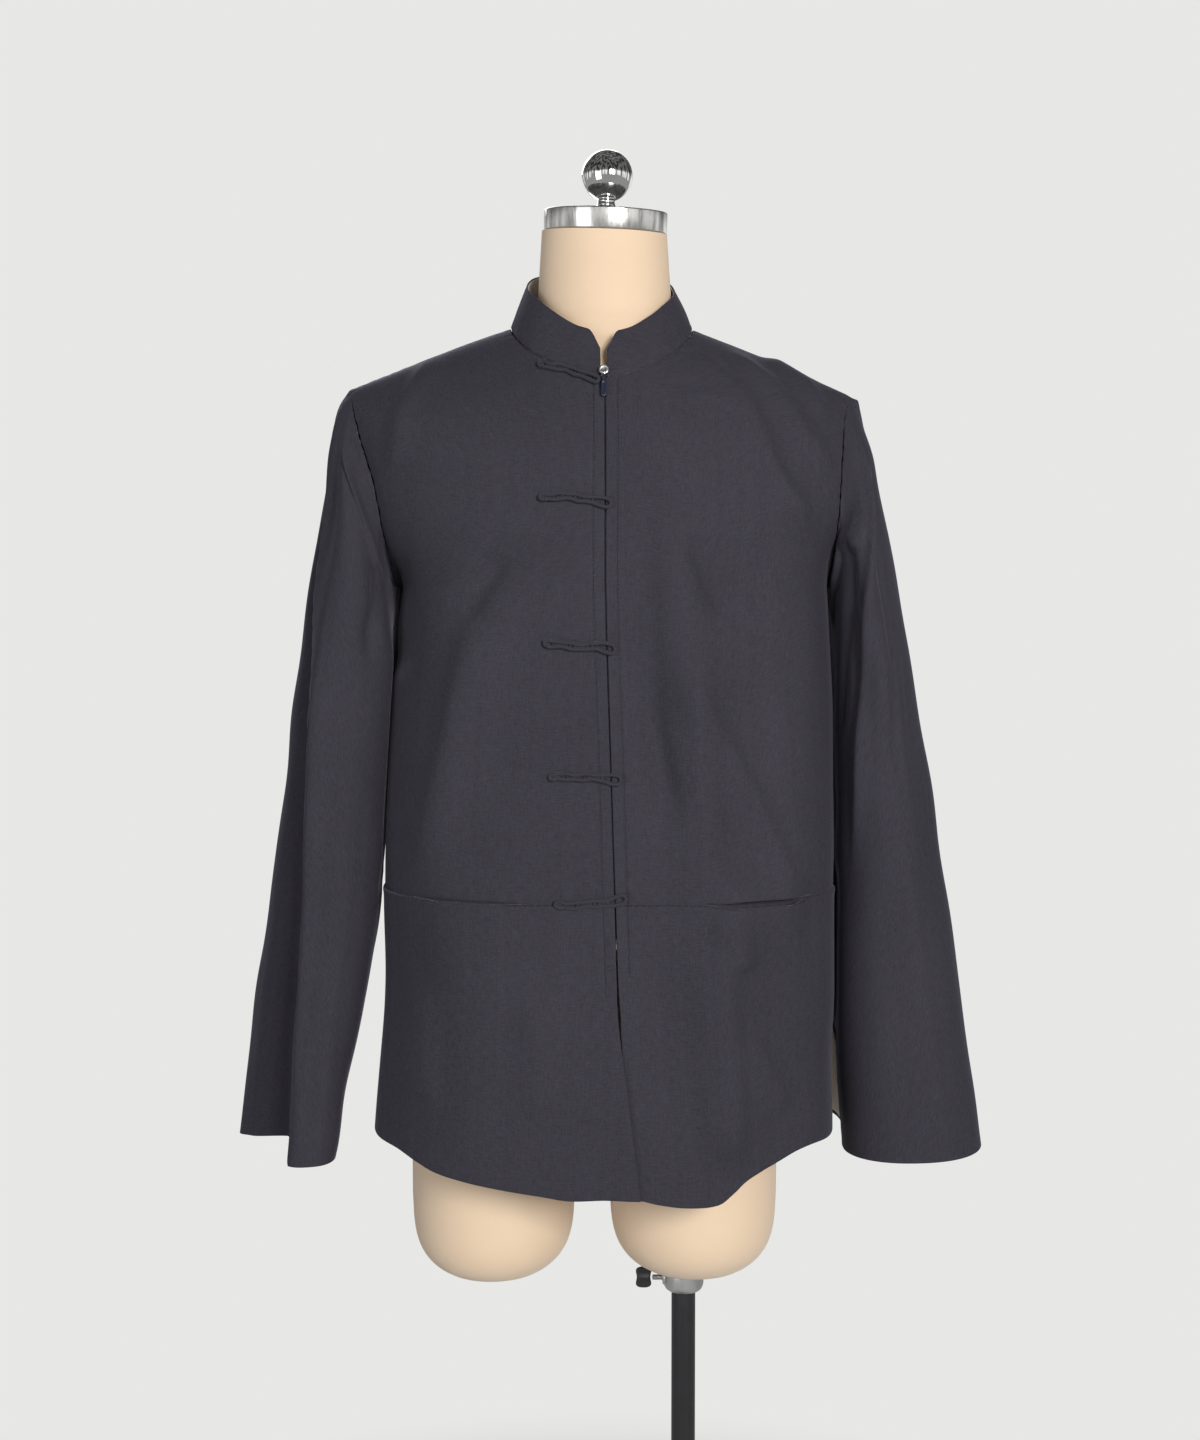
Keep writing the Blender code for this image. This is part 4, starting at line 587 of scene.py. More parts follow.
def neckline_x(side, face, yoke):
    """Distance from the centre plane at which a row meets the neckline, 0 below it."""
    reach = np.linspace(0, SIDES[side]["neck_x"], 2001)
    ridge = shoulder_z(side, reach)
    above = ridge - (ridge - ARMPIT_Z) * (1 - math.cos(yoke)) - neckline_z(side, face, reach)
    return float(reach[np.argmax(above <= 0)]) if above[0] > 0 else 0.0


def unit(vectors):
    return vectors / np.maximum(np.linalg.norm(vectors, axis=-1, keepdims=True), 1e-12)


def normals(grid, closed=False):
    """Unit normals of a grid of points, along its columns' run turned towards its rows' run."""
    across = np.roll(grid, -1, 1) - np.roll(grid, 1, 1) if closed else np.gradient(grid, axis=1)
    return unit(np.cross(across, np.gradient(grid, axis=0)))


def run(points, axis):
    """Length along a grid from its first row or column."""
    step = np.linalg.norm(np.diff(points, axis=axis), axis=-1)
    return np.concatenate((np.zeros_like(np.take(step, [0], axis)), np.cumsum(step, axis)), axis)


def ridge_along(ends, across, along, before, after, height):
    """Height of one crease: a ridge along a bent line, with its own width on each side."""
    near, signed, place = np.full(across.shape, 9.0), np.zeros(across.shape), np.zeros(across.shape)
    ends = np.array(ends)
    steps = np.diff(ends, axis=0)
    sizes = np.hypot(*steps.T)
    passed = 0.0
    for (x0, z0), (dx, dz), size in zip(ends, steps, sizes):
        part = np.clip(((across - x0) * dx + (along - z0) * dz) / size**2, 0, 1)
        gap = np.hypot(across - x0 - part * dx, along - z0 - part * dz)
        closer = gap < near
        near = np.where(closer, gap, near)
        signed = np.where(closer, dx * (along - z0) - dz * (across - x0), signed)
        place = np.where(closer, (passed + part * size) / sizes.sum(), place)
        passed += size
    width = np.where(signed > 0, before, after)
    return height * np.exp(-(near / width)**2) * smooth(place / 0.22) * smooth((1 - place) / 0.22)


def creased(face, x, z):
    """Height of the creases of one face at x and z."""
    return sum(ridge_along(points, x, z, left, right, height) for points, left, right, height in CREASES[face])


def drift(u, v, seed, size):
    """Soft uneven ripple of about unit height over a cloth's own width and length."""
    numbers = np.random.default_rng(seed)
    total = 0.0
    for _ in range(7):
        angle, phase, pitch = numbers.uniform(0, 2 * math.pi, 3)
        total = total + np.sin(2 * math.pi / (size * (0.7 + pitch / 6))
                               * (u * math.cos(angle) + v * math.sin(angle)) + phase)
    return total / 2.6


def seam_pucker(gap, along, seed, height=0.00028):
    """Small puckers beside a sewn seam, by the distance from it and the length along it."""
    wave = np.sin(along / 0.0019 + 1.7 * np.sin(along / 0.0130 + seed)) + 0.6 * np.sin(along / 0.0043 + seed)
    return height * (wave * np.exp(-(gap / 0.007)**2) - 0.9 * np.exp(-(gap / 0.0016)**2))


def cloth_piece(name, grid, thickness=CLOTH, closed=False, outward=None, grain=0):
    """Cloth from a grid of points: two faces, a rounded fold on each free edge, and a UV in metres.

    A closed grid is a tube. outward is a rough direction out of the cloth, and grain the column
    whose length along the cloth is 0.
    """
    grid = np.array(grid)
    if outward is None:
        outward = grid - grid.mean(axis=1, keepdims=True)
    if (normals(grid, closed) * outward).sum() < 0:
        grid = grid[:, ::-1]
    rows, columns = grid.shape[:2]
    radius = thickness / 2
    up = normals(grid, closed)
    laid = np.concatenate((grid, grid[:, :1]), 1) if closed else grid
    u, v = run(laid, 1), run(laid, 0)
    u = u - u[:, [grain]]
    index = np.arange(rows * columns).reshape(rows, columns)
    if closed:
        rims = [index[0], index[-1][::-1]]
    else:
        rims = [np.r_[index[0], index[1:, -1], index[-1, -2::-1], index[-2:0:-1, 0]]]
    outer = grid.reshape(-1, 3).copy()
    flat_up = up.reshape(-1, 3)
    inner = outer - flat_up * thickness
    uv_of = np.stack((u[:, :columns], v[:, :columns]), -1).reshape(-1, 2)
    points, uvs = [outer, inner], [uv_of, uv_of]
    start = 2 * len(outer)
    quads, quad_uv = [], []
    r, c = np.meshgrid(np.arange(rows - 1), np.arange(columns if closed else columns - 1), indexing="ij")
    r, c = r.ravel(), c.ravel()
    corners = np.stack((index[r, c], index[r, (c + 1) % columns],
                        index[r + 1, (c + 1) % columns], index[r + 1, c]), 1)
    places = [(r, c), (r, c + 1), (r + 1, c + 1), (r + 1, c)]
    corner_uv = np.stack([np.stack((u[a, b], v[a, b]), 1) for a, b in places], 1)
    quads += [corners, corners[:, ::-1] + len(outer)]
    quad_uv += [corner_uv, corner_uv[:, ::-1]]
    for loop in rims:
        edge, rise = outer[loop], flat_up[loop]
        out = unit(np.cross(np.roll(edge, -1, 0) - np.roll(edge, 1, 0), rise))
        middle = edge - out * radius - rise * radius
        ring_index = [loop]
        outer[loop] = middle + rise * radius
        inner[loop] = middle - rise * radius
        for a in (math.pi / 4, math.pi / 2, 3 * math.pi / 4):
            points.append(middle + radius * (out * math.sin(a) + rise * math.cos(a)))
            uvs.append(uv_of[loop] + radius * a)
            ring_index.append(np.arange(start, start + len(loop)))
            start += len(loop)
        ring_index.append(loop + len(outer))
        for high, low in zip(ring_index, ring_index[1:]):
            strip = np.stack((np.roll(high, -1), high, low, np.roll(low, -1)), 1)
            quads.append(strip)
            quad_uv.append(None)
    all_uv = np.concatenate(uvs)
    faces = np.concatenate(quads)
    face_uv = np.concatenate([all_uv[q] if given is None else given for q, given in zip(quads, quad_uv)])
    mesh = bpy.data.meshes.new(name)
    mesh.from_pydata(np.concatenate(points).tolist(), [], faces.tolist())
    layer = mesh.uv_layers.new(name="weave")
    layer.data.foreach_set("uv", face_uv.astype(np.float32).ravel())
    mesh.shade_smooth()
    obj = bpy.data.objects.new(name, mesh)
    bpy.context.scene.collection.objects.link(obj)
    return obj


def plain_weave(name, shade, lit, thread, bump=0.4, sheen=0.35):
    """Plain weave on the cloth's own length and width: short slubs both ways, pebbling and faint streaks."""
    material, tree, shader = finish(name, 0.8, Sheen_Weight=sheen, Sheen_Roughness=0.28,
                                    Sheen_Tint=(0.68, 0.66, 0.80, 1.0), Specular_IOR_Level=0.0)
    place = node(tree, "UVMap", uv_map="weave").outputs["UV"]
    slubs = []
    for squeeze in ((1.0, 0.16, 1.0), (0.16, 1.0, 1.0)):
        stretched = node(tree, "Mapping", [("Vector", place)], Scale=squeeze)
        slubs.append(node(tree, "TexNoise", [("Vector", stretched.outputs["Vector"])],
                          Scale=0.55 / thread, Detail=2.0))
    threads = node(tree, "Math", operation="ADD")
    for socket, slub in zip(threads.inputs, slubs):
        tree.links.new(slub.outputs["Fac"], socket)
    pebbles = node(tree, "TexNoise", [("Vector", place)], Scale=0.45 / thread, Detail=2.0, Roughness=0.7)
    height = node(tree, "Math", operation="ADD")
    tree.links.new(threads.outputs["Value"], height.inputs[0])
    tree.links.new(pebbles.outputs["Fac"], height.inputs[1])
    long_way = node(tree, "Mapping", [("Vector", place)], Scale=(1.0, 0.02, 1.0))
    streaks = node(tree, "TexNoise", [("Vector", long_way.outputs["Vector"])], Scale=160.0, Detail=2.0)
    clouds = node(tree, "TexNoise", [("Vector", place)], Scale=9.0, Detail=4.0)
    total = height.outputs["Value"]
    for source, weight in ((streaks, 0.35), (clouds, 0.5)):
        added = node(tree, "Math", operation="MULTIPLY_ADD")
        tree.links.new(source.outputs["Fac"], added.inputs[0])
        added.inputs[1].default_value = weight
        tree.links.new(total, added.inputs[2])
        total = added.outputs["Value"]
    share = node(tree, "MapRange", [("Value", total)], From_Min=1.45, From_Max=2.40)
    tones(tree, shader, share.outputs["Result"], shade, lit)
    relief(tree, shader, height.outputs["Value"], bump, 0.0005)
    return material


charcoal = plain_weave("charcoal_weave", (0.0310, 0.0290, 0.0378), (0.0505, 0.0473, 0.0602), 0.0007)


def back_half(side):
    """Grid of one half of the back, centre first."""
    rows = []
    for level, yoke in zip(LEVELS, YOKES["back"]):
        half = float(half_width(side, level, yoke))
        outer = half if yoke >= math.pi / 2 else float(armhole_x(side, yoke))
        inner = neckline_x(side, "back", yoke)
        t = np.linspace(math.asin(inner / half), math.asin(min(1.0, outer / half)), HALF_COLUMNS)
        x = half * np.sin(t)
        x[0], x[-1] = inner, outer
        rows.append(jacket_points(side, "back", x, level, yoke))
    grid = np.array(rows)
    near = smooth((np.abs(grid[..., 0]) / curve(SIDES[side]["half_width"], LEVELS)[:, None] - 0.86) / 0.14)
    near = near * smooth((SLIT_TOP_Z - LEVELS) / 0.09)[:, None]
    grid[..., 0] += SIDES[side]["sign"] * SIDES[side]["slit_flare"] * near
    grid[..., 1] += 0.001 * near
    return grid


def back_panel():
    """Both halves side by side, creased, rippled and drawn in along the sewn seams."""
    grid = np.concatenate((back_half("right")[:, :0:-1], back_half("left")), 1)
    u, v = run(grid, 1), run(grid, 0)
    x = grid[..., 0]
    sides = np.minimum(u, u[:, -1:] - u)
    top = v[-1:] - v
    free = smooth(sides / 0.012) * smooth(top / 0.012)
    rise = creased("back", x, grid[..., 2]) + 0.0006 * drift(u - u[:, -1:] / 2, v, 3, 0.11)
    rise = rise * free
    sewn = LEVELS > SLIT_TOP_Z
    rise += np.where(sewn[:, None], seam_pucker(sides, v, 1.0), 0.0)
    rise += seam_pucker(top, u, 2.0, 0.0002)
    out = normals(grid)
    out = out * np.sign((out[..., 1]).mean())
    return grid + out * rise[..., None]


back_grid = back_panel()
back = cloth_piece("jacket_back", back_grid, grain=HALF_COLUMNS - 1)
dress(back, charcoal, "form", "jacket_cloth", "back")

# --- Fronts ---------------------------------------------------------------------------------------
# Two pieces of the same cloth, each faced back at its front edge and topstitched 9.5 mm in from it.
# Below the zip the right front laps over the left. Shoulder, armhole and side seams join the back.

PLACKET = 0.0095
# Height of the pockets' mouths, and the middle and half width of the part left open, the depth by
# which its lip stands off and that by which the front bellies out above it
MOUTH_Z = 0.9300
MOUTHS = {"left": (0.131, 0.052, 0.0100, 0.0105), "right": (0.115, 0.055, 0.0030, 0.0012)}
ZIP_LOW = 0.893
# (z, right front's edge and left front's edge from the centre line, right front's lift)
FRONT_EDGES = ((0.684, 0.0030, -0.0030, 0.0040), (0.780, 0.0010, -0.0012, 0.0036), (0.812, -0.0003, 0.0003, 0.0018),
               (0.838, -0.0011, 0.0011, 0.0), (0.862, -0.0007, 0.0007, 0.0), (0.900, -0.0006, 0.0006, 0.0),
               (1.400, -0.0007, 0.0007, 0.0))
# Lowest point of the topstitching beside each edge, and the second thickness of cloth under it
STITCH_LOW = {"right": 0.848, "left": 0.868}
PATCH = 0.0008
EDGE_COLUMNS = np.array((0.0, 0.0010, 0.0022, 0.0036, 0.0052, 0.0068, 0.0080, 0.0087, 0.0091, PLACKET, 0.0099, 0.0103,
                         0.0112))


def open_share(side, x):
    """How far a pocket's mouth is open across the front, from 0 where it is sewn to 1."""
    middle, reach = MOUTHS[side][:2]
    return smooth(1.5 * (1 - np.abs(np.abs(x) - middle) / reach))


def front_grid(side):
    """Grid of a front from its front edge to the side."""
    rows = []
    sign = SIDES[side]["sign"]
    for level, yoke in zip(LEVELS, YOKES["front"]):
        half = float(half_width(side, level, yoke))
        outer = half if yoke >= math.pi / 2 else float(armhole_x(side, yoke))
        high = level + 0.1 * float(smooth((level - 1.12) / 0.077))
        inner = sign * float(centre_x(high) + curve(FRONT_EDGES, high, 1 if side == "right" else 2))
        reach = neckline_x(side, "front", yoke)
        inner = max(inner, reach) if reach else inner
        t = np.linspace(math.asin((inner + EDGE_COLUMNS[-1]) / half), math.asin(min(1.0, outer / half)), HALF_COLUMNS)
        x = np.r_[inner + EDGE_COLUMNS[:-1], half * np.sin(t)]
        x[-1] = outer
        row = jacket_points(side, "front", x, level, yoke)
        if side == "right" and yoke >= math.pi / 2:
            row[:, 1] -= float(curve(FRONT_EDGES, level, 3)) * np.exp(-((x - x[0]) / 0.02)**2)
        rows.append(row)
    grid = np.array(rows)
    near = smooth((np.abs(grid[..., 0]) / curve(SIDES[side]["half_width"], LEVELS)[:, None] - 0.86) / 0.14)
    near = near * smooth((SLIT_TOP_Z - LEVELS) / 0.09)[:, None]
    grid[..., 0] -= sign * near * (0.0046 if side == "left" else 0.0)
    grid[..., 1] -= 0.003 * near
    u, v = run(grid, 1), run(grid, 0)
    z = grid[..., 2]
    side_gap, top = u[:, -1:] - u, v[-1:] - v
    on_neck = YOKES["front"] < math.acos(1 - (RIDGE_Z - NECK_Z["front"]) / (RIDGE_Z - ARMPIT_Z))
    free = (smooth(side_gap / 0.012) * smooth(top / 0.012)
            * smooth((np.abs(grid[..., 0] - centre_x(z)) - 0.008) / 0.045))
    rise = (creased("front", grid[..., 0], z) + 0.0005 * drift(u, v, 5 + sign, 0.12)) * free
    sewn = (LEVELS > SLIT_TOP_Z)[:, None]
    rise += np.where(sewn, seam_pucker(side_gap, v, 3.0 + sign), 0.0) + seam_pucker(top, u, 4.0 + sign, 0.0002)
    rise += np.where(on_neck[:, None], seam_pucker(u, v, 6.0 + sign, 0.0003), 0.0)
    row_of_stitches = np.abs(u - PLACKET)
    stitched = np.where(on_neck[:, None], 0.0, smooth((z - STITCH_LOW[side]) / 0.006))
    rise += stitched * (-0.0009 * np.exp(-(row_of_stitches / 0.0006)**2)
                        + 0.00016 * np.sin(v / 0.0021) * np.exp(-(row_of_stitches / 0.004)**2))
    above = z - MOUTH_Z
    hang = np.exp(-(np.maximum(above - 0.002, 0) / 0.022)**2)
    rise += MOUTHS[side][3] * open_share(side, grid[..., 0]) * smooth(above / 0.0014) * hang
    rise -= 0.0004 * np.exp(-((above - 0.0008) / 0.0014)**2) * (u > PLACKET)
    out = normals(grid)
    out = out * -np.sign(out[..., 1].mean())
    return grid + out * rise[..., None]


fronts = {side: front_grid(side) for side in SIDES}
front_pieces = {side: cloth_piece("jacket_front_" + side, grid) for side, grid in fronts.items()}
for side, obj in front_pieces.items():
    dress(obj, charcoal, "form", "jacket_cloth", "front_" + side)


def row_tree():
    """Node group that sets one small rounded body at each pitch along a line, then makes it real."""
    tree = bpy.data.node_groups.new("bodies_along_a_line", "GeometryNodeTree")
    sockets = tree.interface
    sockets.new_socket("Line", in_out="INPUT", socket_type="NodeSocketGeometry")
    for label in ("Pitch", "Across", "Rise", "Along"):
        sockets.new_socket(label, in_out="INPUT", socket_type="NodeSocketFloat")
    sockets.new_socket("Material", in_out="INPUT", socket_type="NodeSocketMaterial")
    sockets.new_socket("Row", in_out="OUTPUT", socket_type="NodeSocketGeometry")
    given, result = tree.nodes.new("NodeGroupInput"), tree.nodes.new("NodeGroupOutput")
    line = tree.nodes.new("GeometryNodeMeshToCurve")
    places = tree.nodes.new("GeometryNodeCurveToPoints")
    places.mode = "LENGTH"
    body = tree.nodes.new("GeometryNodeMeshUVSphere")
    body.inputs["Segments"].default_value, body.inputs["Rings"].default_value = 6, 4
    body.inputs["Radius"].default_value = 0.5
    size = tree.nodes.new("ShaderNodeCombineXYZ")
    ahead, level = (tree.nodes.new("FunctionNodeAlignRotationToVector"),
                    tree.nodes.new("FunctionNodeAlignRotationToVector"))
    ahead.axis, level.axis, level.pivot_axis = "Z", "X", "Z"
    level.inputs["Vector"].default_value = (1, 0, 0)
    copies = tree.nodes.new("GeometryNodeInstanceOnPoints")
    real = tree.nodes.new("GeometryNodeRealizeInstances")
    soft = tree.nodes.new("GeometryNodeSetShadeSmooth")
    dressed = tree.nodes.new("GeometryNodeSetMaterial")
    for start, end in ((given.outputs["Line"], line.inputs["Mesh"]), (line.outputs["Curve"], places.inputs["Curve"]),
                       (given.outputs["Pitch"], places.inputs["Length"]), (given.outputs["Across"], size.inputs["X"]),
                       (given.outputs["Rise"], size.inputs["Y"]), (given.outputs["Along"], size.inputs["Z"]),
                       (places.outputs["Tangent"], ahead.inputs["Vector"]),
                       (ahead.outputs["Rotation"], level.inputs["Rotation"]),
                       (places.outputs["Points"], copies.inputs["Points"]),
                        (body.outputs["Mesh"], copies.inputs["Instance"]),
                       (level.outputs["Rotation"], copies.inputs["Rotation"]),
                        (size.outputs["Vector"], copies.inputs["Scale"]),
                       (copies.outputs["Instances"], real.inputs["Geometry"]),
                        (real.outputs["Geometry"], soft.inputs[0]),
                       (soft.outputs[0], dressed.inputs["Geometry"]),
                       (given.outputs["Material"], dressed.inputs["Material"]),
                       (dressed.outputs["Geometry"], result.inputs["Row"])):
        tree.links.new(start, end)
    return tree


ROW_TREE = row_tree()


def row_of(name, lines, material, pitch, across, rise, along):
    """Rounded bodies in rows along lines of points, such as stitches or teeth, as one plain mesh."""
    points, edges = [], []
    for line in lines:
        start = len(points)
        points += [tuple(p) for p in line]
        edges += [(start + i, start + i + 1) for i in range(len(line) - 1)]
    mesh = bpy.data.meshes.new(name)
    mesh.from_pydata(points, edges, [])
    obj = bpy.data.objects.new(name, mesh)
    bpy.context.scene.collection.objects.link(obj)
    modifier = obj.modifiers.new("row", "NODES")
    modifier.node_group = ROW_TREE
    names = {item.name: item.identifier for item in ROW_TREE.interface.items_tree if item.in_out == "INPUT"}
    for label, value in (("Pitch", pitch), ("Across", across), ("Rise", rise),
                         ("Along", along), ("Material", material)):
        modifier[names[label]] = value
    made = bpy.data.meshes.new_from_object(obj.evaluated_get(bpy.context.evaluated_depsgraph_get()))
    obj.modifiers.clear()
    obj.data = made
    return obj


def thread(name, dark, light):
    """Twisted sewing thread with a slight shine."""
    material, tree, shader = finish(name, 0.55, Sheen_Weight=0.2)
    place = node(tree, "TexCoord")
    ply = node(tree, "TexNoise", [("Vector", place.outputs["Object"])], Scale=2600.0, Detail=2.0)
    tones(tree, shader, ply.outputs["Fac"], dark, light)
    relief(tree, shader, ply.outputs["Fac"], 0.4, 0.0002)
    return material


# Stitching thread far darker than the cloth: real thread, with its darkness as painted shade in the stitch grooves
# and the shadows round the frogs.
thread_darkened_as_painted_shade = thread("charcoal_thread", (0.006, 0.006, 0.011), (0.016, 0.016, 0.026))


def grown(obj):
    """Search tree of a piece's faces."""
    return BVHTree.FromPolygons([v.co for v in obj.data.vertices], [tuple(f.vertices) for f in obj.data.polygons])


FRONT_TREES = [grown(obj) for obj in front_pieces.values()]


def lie_on(trees, line, lift):
    """Points on the cloth under (x, z) pairs as seen from the front, raised by lift."""
    laid = []
    for x, z in line:
        hits = [tree.ray_cast(Vector((x, -0.6, z)), Vector((0, 1, 0))) for tree in trees]
        hits = [hit for hit in hits if hit[0] is not None]
        if hits:
            place, out = min(hits, key=lambda hit: hit[3])[:2]
            laid.append(place + Vector((0, out.y, 0)).normalized() * lift)
    return laid


def beside_edge(side, low, high):
    """(x, z) of the row of stitches beside a front's edge."""
    heights = np.arange(low, high, 0.004)
    offset = curve(FRONT_EDGES, heights, 1 if side == "right" else 2) + SIDES[side]["sign"] * PLACKET
    return np.stack((centre_x(heights) + offset, heights), 1)


# Topstitching in the thread darkened as painted shade.
edge_rows = []
for side in SIDES:
    edge_rows.append(lie_on(FRONT_TREES, beside_edge(side, MOUTH_Z + 0.001, 1.366), 0.00002))
    edge_rows.append(lie_on(FRONT_TREES, beside_edge(side, STITCH_LOW[side], MOUTH_Z - 0.001), PATCH + 0.0005))
bar = STITCH_LOW["left"]
edge_rows.append(lie_on(FRONT_TREES, [(centre_x(bar) + s, bar) for s in np.linspace(0.0015, 0.0100, 6)],
                         PATCH + 0.0005))
edge_stitches = row_of("front_topstitching", edge_rows, thread_darkened_as_painted_shade, 0.0034, 0.0008, 0.0005, 0.0026)
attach(edge_stitches, "form")

# --- Pockets --------------------------------------------------------------------------------------
# One patch each side over the whole lower front, its mouth turned in and stitched to the front
# beyond the hand's width, its other edges caught in the side seam, the hem and the front facing.


def pocket_patch(side):
    lower = fronts[side][:POCKET_ROW + 1]
    gape = MOUTHS[side][2]
    out = normals(lower)
    out = unit(out * -np.sign(out[..., 1].mean()) * (1, 1, 0.2))
    z = lower[..., 2]
    opened = open_share(side, lower[..., 0])
    below = np.exp(-((MOUTH_Z - z) / 0.045)**2)
    droop = opened * np.exp(-((MOUTH_Z - z) / 0.012)**2)
    distance = PATCH + 0.0005 + gape * opened * below + 0.0006 * np.exp(-((MOUTH_Z - z - 0.003) / 0.003)**2)
    tucked = (1 - opened) * smooth((z - MOUTH_Z + 0.0016) / 0.0016)
    patch = lower + out * (distance - (distance + 0.0003) * tucked)[..., None]
    patch[..., 2] -= (0.0042 if side == "left" else 0.0008) * droop
    return patch


pocket_lines = []
for side in SIDES:
    patch = pocket_patch(side)
    obj = cloth_piece("jacket_pocket_" + side, patch, thickness=PATCH)
    dress(obj, charcoal, "form", "jacket_cloth", "pocket_" + side)
    row = patch[-6]
    out = normals(patch)[-6]
    out = out * -np.sign(out[:, 1].mean())
    closed_part = open_share(side, row[:, 0]) < 0.25
    ends = np.flatnonzero(np.diff(np.r_[0, closed_part.astype(int), 0]))
    for start, end in zip(ends[::2], ends[1::2]):
        if end - start > 3:
            pocket_lines.append((row + out * 0.00012)[start:end])
pale_thread = thread("grey_thread", (0.035, 0.035, 0.045), (0.065, 0.065, 0.080))
pocket_stitches = row_of("pocket_stitching", pocket_lines, pale_thread, 0.0056, 0.00036, 0.00028, 0.0020)
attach(pocket_stitches, "form")

# --- Slit facings ---------------------------------------------------------------------------------
# A strip of pale poplin turned to the inside of the back along each side slit and edge stitched.

FACING = 0.0008


def facing_strip(side):
    """Grid of the strip on the inside of the back, from the hem to the slit's top."""
    lower = back_grid[:SLIT_ROW + 1]
    strip = lower[:, -12:] if side == "left" else lower[:, 11::-1]
    out = normals(lower)
    out = out * np.sign(out[..., 1].mean())
    out = out[:, -12:] if side == "left" else out[:, 11::-1]
    strip = strip - out * (CLOTH + 0.0003)
    return strip[1:-1, :-1]


poplin, poplin_tree, poplin_shader = finish("pale_poplin", 0.75, Sheen_Weight=0.2)
poplin_place = node(poplin_tree, "UVMap", uv_map="weave").outputs["UV"]
poplin_warp = node(poplin_tree, "TexWave", [("Vector", poplin_place)],
                   Scale=2 * math.pi / 20 / 0.0005, Distortion=0.4)
poplin_cloud = node(poplin_tree, "TexNoise", [("Vector", poplin_place)], Scale=60.0, Detail=4.0)
tones(poplin_tree, poplin_shader, poplin_cloud.outputs["Fac"], (0.56, 0.53, 0.50), (0.68, 0.65, 0.61))
relief(poplin_tree, poplin_shader, poplin_warp.outputs["Fac"], 0.25, 0.0003)
for side in SIDES:
    strip = cloth_piece("slit_strip_" + side, facing_strip(side), thickness=FACING,
                        outward=np.array((0.0, 1.0, 0.0)))
    dress(strip, poplin, "form", "pale_facing", "slit_facing_" + side)

# --- Sleeves --------------------------------------------------------------------------------------
# One-piece sleeves with an underarm seam, set into the armholes with hardly any ease. The cuffs are
# turned up and blind stitched. The right one hangs in a deep fold along its outer front.

SLEEVES = {
    "right": (
        (0.2300, 1.3745, 0.1865, 1.1970, 0.064, 0.000, 0.00), (0.2385, 1.3595, 0.1890, 1.1970, 0.070, 0.000, 0.00),
        (0.2450, 1.3302, 0.1890, 1.1850, 0.074, 0.000, 0.03), (0.2515, 1.2930, 0.1880, 1.1670, 0.077, 0.000, 0.08),
        (0.2595, 1.2520, 0.1860, 1.1450, 0.079, 0.000, 0.10), (0.2680, 1.2060, 0.1815, 1.1220, 0.080, 0.002, 0.08),
        (0.2770, 1.1470, 0.1810, 1.0880, 0.080, 0.003, 0.08), (0.2870, 1.0820, 0.1865, 1.0500, 0.079, 0.004, 0.10),
        (0.2960, 1.0160, 0.1930, 1.0030, 0.077, 0.006, 0.15), (0.3055, 0.9500, 0.1990, 0.9500, 0.075, 0.008, 0.20),
        (0.3155, 0.8850, 0.2060, 0.8850, 0.073, 0.010, 0.26), (0.3270, 0.8150, 0.2200, 0.8150, 0.071, 0.012, 0.34),
        (0.3375, 0.7450, 0.2345, 0.7480, 0.070, 0.014, 0.42), (0.3440, 0.6990, 0.2420, 0.6990, 0.069, 0.015, 0.47),
        (0.3465, 0.6800, 0.2450, 0.6820, 0.068, 0.015, 0.50),
    ),
    "left": (
        (0.2290, 1.3655, 0.2000, 1.1970, 0.064, 0.000, 0.00), (0.2345, 1.3420, 0.2025, 1.1970, 0.070, 0.000, 0.00),
        (0.2410, 1.3160, 0.2030, 1.1850, 0.074, 0.000, 0.02), (0.2480, 1.2820, 0.2040, 1.1670, 0.077, 0.000, 0.05),
        (0.2570, 1.2410, 0.2045, 1.1450, 0.079, 0.000, 0.06), (0.2650, 1.1990, 0.2045, 1.1220, 0.080, 0.000, 0.04),
        (0.2740, 1.1450, 0.2045, 1.0880, 0.080, 0.000, 0.02), (0.2850, 1.0780, 0.2048, 1.0500, 0.078, 0.000, 0.03),
        (0.2975, 1.0120, 0.2052, 1.0030, 0.076, 0.000, 0.04), (0.3075, 0.9470, 0.2055, 0.9500, 0.074, 0.000, 0.05),
        (0.3180, 0.8820, 0.2060, 0.8850, 0.072, 0.001, 0.06), (0.3285, 0.8120, 0.2075, 0.8150, 0.070, 0.002, 0.07),
        (0.3390, 0.7430, 0.2125, 0.7450, 0.068, 0.003, 0.08), (0.3440, 0.7050, 0.2165, 0.7030, 0.067, 0.003, 0.09),
        (0.3465, 0.6880, 0.2180, 0.6860, 0.066, 0.003, 0.10),
    ),
}
# (degrees from the outer side through the front, half width in degrees, start, end, height)
SLEEVE_FOLDS = {
    "right": ((208, 20, -0.08, 0.45, 0.0070), (74, 14, 0.10, 1.10, 0.0030),
              (112, 18, 0.12, 0.45, -0.0040), (285, 22, 0.25, 0.95, 0.0040),
              (245, 18, 0.30, 1.10, -0.0050)),
    "left": ((208, 18, -0.08, 0.45, 0.0040), (88, 15, 0.08, 0.55, 0.0050),
             (114, 15, 0.12, 0.50, -0.0060), (48, 18, 0.15, 0.75, -0.0040),
             (290, 20, 0.25, 0.95, 0.0050), (245, 18, 0.35, 1.10, -0.0060)),
}
